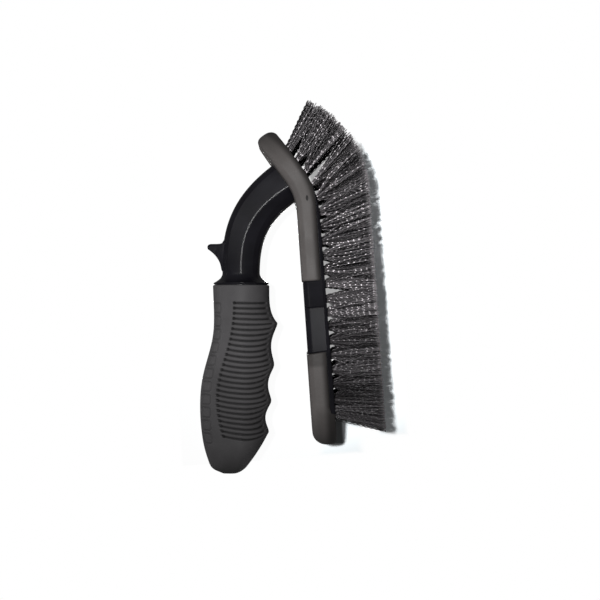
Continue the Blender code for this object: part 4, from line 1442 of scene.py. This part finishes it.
def add_floor():
    """White surface under the brush, which lies on its side.

    Its shadow is deepest past the bristles' tips, and beside the head's rear a painted shadow
    darkens the surface's colour.
    Nearer the handle and past the ends the surface is a light box, white by itself, so that light
    comes through between the rows; among the rows that glow is dimmed as painted shade.
    """
    material = bpy.data.materials.new("White surface")
    material.use_nodes = True
    material.node_tree.nodes.clear()
    nodes = Nodes(material.node_tree)
    x, _, z = nodes.parts(nodes.place())
    measures = {"x": x, "z": z, "over_face": height_over(nodes, x, z, BEND_X, BEND_RADIUS),
                "past_tips": height_over(nodes, x, z, SHADOW_START_X, TRIM_RADIUS) * -1.0}

    def zone(*edges):
        """Zone of the surface that lies within all of its edges."""
        inside = 1.0
        for measure, start, full in edges:
            inside = nodes.smooth(measures[measure], start, full) * inside
        return inside

    under_rear, handle_side = zone(*UNDER_REAR), zone(HANDLE_SIDE) * HANDLE_SIDE_GLOW
    # Painted shadow: the surface's colour darkened beside the head's rear
    gain = under_rear * zone(*BESIDE_HEAD) * (-REAR_PAINTED_SHADOW * FLOOR_GAIN) + FLOOR_GAIN
    glow = nodes.largest(handle_side * (1.0 - under_rear),
                         *(zone(*edges) for edges in WHITE_ZONES))
    paper = nodes.make("ShaderNodeBsdfDiffuse", {"Color": nodes.scaled(FLOOR_TINT, gain)})
    # Painted shade: the glow dimmed among the rows
    lit = nodes.make("ShaderNodeEmission",
                     {"Color": WHITE, "Strength": zone(*AMONG_ROWS) * -ROW_PAINTED_SHADE + 1.0})
    front = (nodes.make("ShaderNodeLightPath", output="Is Camera Ray")
             * (1.0 - nodes.make("ShaderNodeNewGeometry", output="Backfacing")))
    seen = nodes.mixed_shaders(front, nodes.make("ShaderNodeBsdfTransparent"),
                               nodes.mixed_shaders(glow, paper, lit))
    nodes.add("ShaderNodeOutputMaterial", {"Surface": seen})
    mesh = bpy.data.meshes.new("white_surface")
    mesh.from_pydata([(x * FLOOR_HALF, FLOOR_Y, z * FLOOR_HALF)
                      for x, z in ((-1, -1), (1, -1), (1, 1), (-1, 1))], [], [(0, 1, 2, 3)])
    mesh.materials.append(material)
    add_object("white_surface", mesh)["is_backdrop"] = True


def add_lamp(name, kind, place, target, level, size, lights, **fields):
    """Lamp that gives a level of 1 where a white face turned to it renders white.

    It lights the brush's form or its gloss, as a polarised studio lamp can.
    """
    lamp = bpy.data.lights.new(name, kind)
    way = Vector(target) - Vector(place)
    if kind == "AREA":
        lamp.shape = "DISK"
        lamp.size = size
        lamp.energy = level * math.pi**2 * way.length**2
    else:
        lamp.shadow_soft_size = size
        lamp.energy = level * 4 * math.pi**2 * way.length**2
    for field, value in fields.items():
        setattr(lamp, field, value)
    holder = add_object(name, lamp)
    holder.visible_camera = False
    holder.visible_diffuse = lights == "FORM"
    holder.visible_glossy = lights == "GLOSS"
    holder.location = place
    holder.rotation_mode = "QUATERNION"
    holder.rotation_quaternion = way.to_track_quat("-Z", "Y")


class TIREBRUSH_OT_stage(bpy.types.Operator):
    """Build the surface, the lamps, the surroundings and the camera"""
    bl_idname = "tire_brush.stage"
    bl_label = "Stage"

    def execute(self, context):
        add_floor()
        add_lamp("front_lamp", "SPOT", (0.080, -1.20, 0.190), (0.019, 0.0, 0.040), 1.13, 0.026,
                 "FORM", spot_size=math.radians(16.0), spot_blend=1.0)
        for name, place, level, size, lights in DISC_LAMPS:
            add_lamp(name, "AREA", place, LAMP_TARGET, level, size, lights)
        world = bpy.data.worlds.new("Surroundings")
        world.use_nodes = True
        world.node_tree.nodes.clear()
        nodes = Nodes(world.node_tree)
        soft, white = (nodes.make("ShaderNodeBackground", {"Color": WHITE, "Strength": strength})
                       for strength in (WORLD_LEVEL, 1.0))
        seen = nodes.make("ShaderNodeLightPath", output="Is Camera Ray")
        nodes.add("ShaderNodeOutputWorld", {"Surface": nodes.mixed_shaders(seen, soft, white)})
        context.scene.world = world
        context.scene.view_settings.view_transform = "Standard"

        camera = bpy.data.cameras.new("photo_camera")
        camera.lens = 85.0
        camera.sensor_width = 36.0
        camera.clip_start, camera.clip_end = 0.01, 20.0
        holder = add_object("photo_camera", camera)
        up = Vector((math.cos(PHOTO_ROLL), 0.0, -math.sin(PHOTO_ROLL)))
        right = Vector((-math.sin(PHOTO_ROLL), 0.0, -math.cos(PHOTO_ROLL)))
        axes = Matrix((right, up, Vector((0.0, -1.0, 0.0)))).transposed()
        place = PHOTO_CENTRE - Vector((0.0, PHOTO_DISTANCE, 0.0))
        holder.matrix_world = Matrix.Translation(place) @ axes.to_4x4()
        context.scene.camera = holder
        return {"FINISHED"}


class TIREBRUSH_PT_panel(bpy.types.Panel):
    """Lists the brush's sizes, colours and pieces"""
    bl_label = "Tire brush"
    bl_idname = "TIREBRUSH_PT_panel"
    bl_space_type = "VIEW_3D"
    bl_region_type = "UI"
    bl_category = "Tire brush"

    def draw(self, context):
        chosen = context.scene.tire_brush
        for name in TireBrushSettings.__annotations__:
            self.layout.prop(chosen, name)
        for piece in PIECES:
            self.layout.operator(piece.bl_idname)


PIECES = (TIREBRUSH_OT_body, TIREBRUSH_OT_pads, TIREBRUSH_OT_grip, TIREBRUSH_OT_bristles,
          TIREBRUSH_OT_stage)
CLASSES = (TireBrushSettings, *PIECES, TIREBRUSH_PT_panel)


def register():
    for item in CLASSES:
        bpy.utils.register_class(item)
    bpy.types.Scene.tire_brush = PointerProperty(type=TireBrushSettings)


def unregister():
    del bpy.types.Scene.tire_brush
    for item in reversed(CLASSES):
        bpy.utils.unregister_class(item)


def main():
    register()
    bpy.ops.tire_brush.body()
    bpy.ops.tire_brush.pads()
    bpy.ops.tire_brush.grip()
    bpy.ops.tire_brush.bristles()
    bpy.ops.tire_brush.stage()
    corners = {"cad": [list(corner) for corner in SOLID_BOX],
               "visual": [list(corner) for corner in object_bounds()]}


if __name__ == "__main__":
    main()
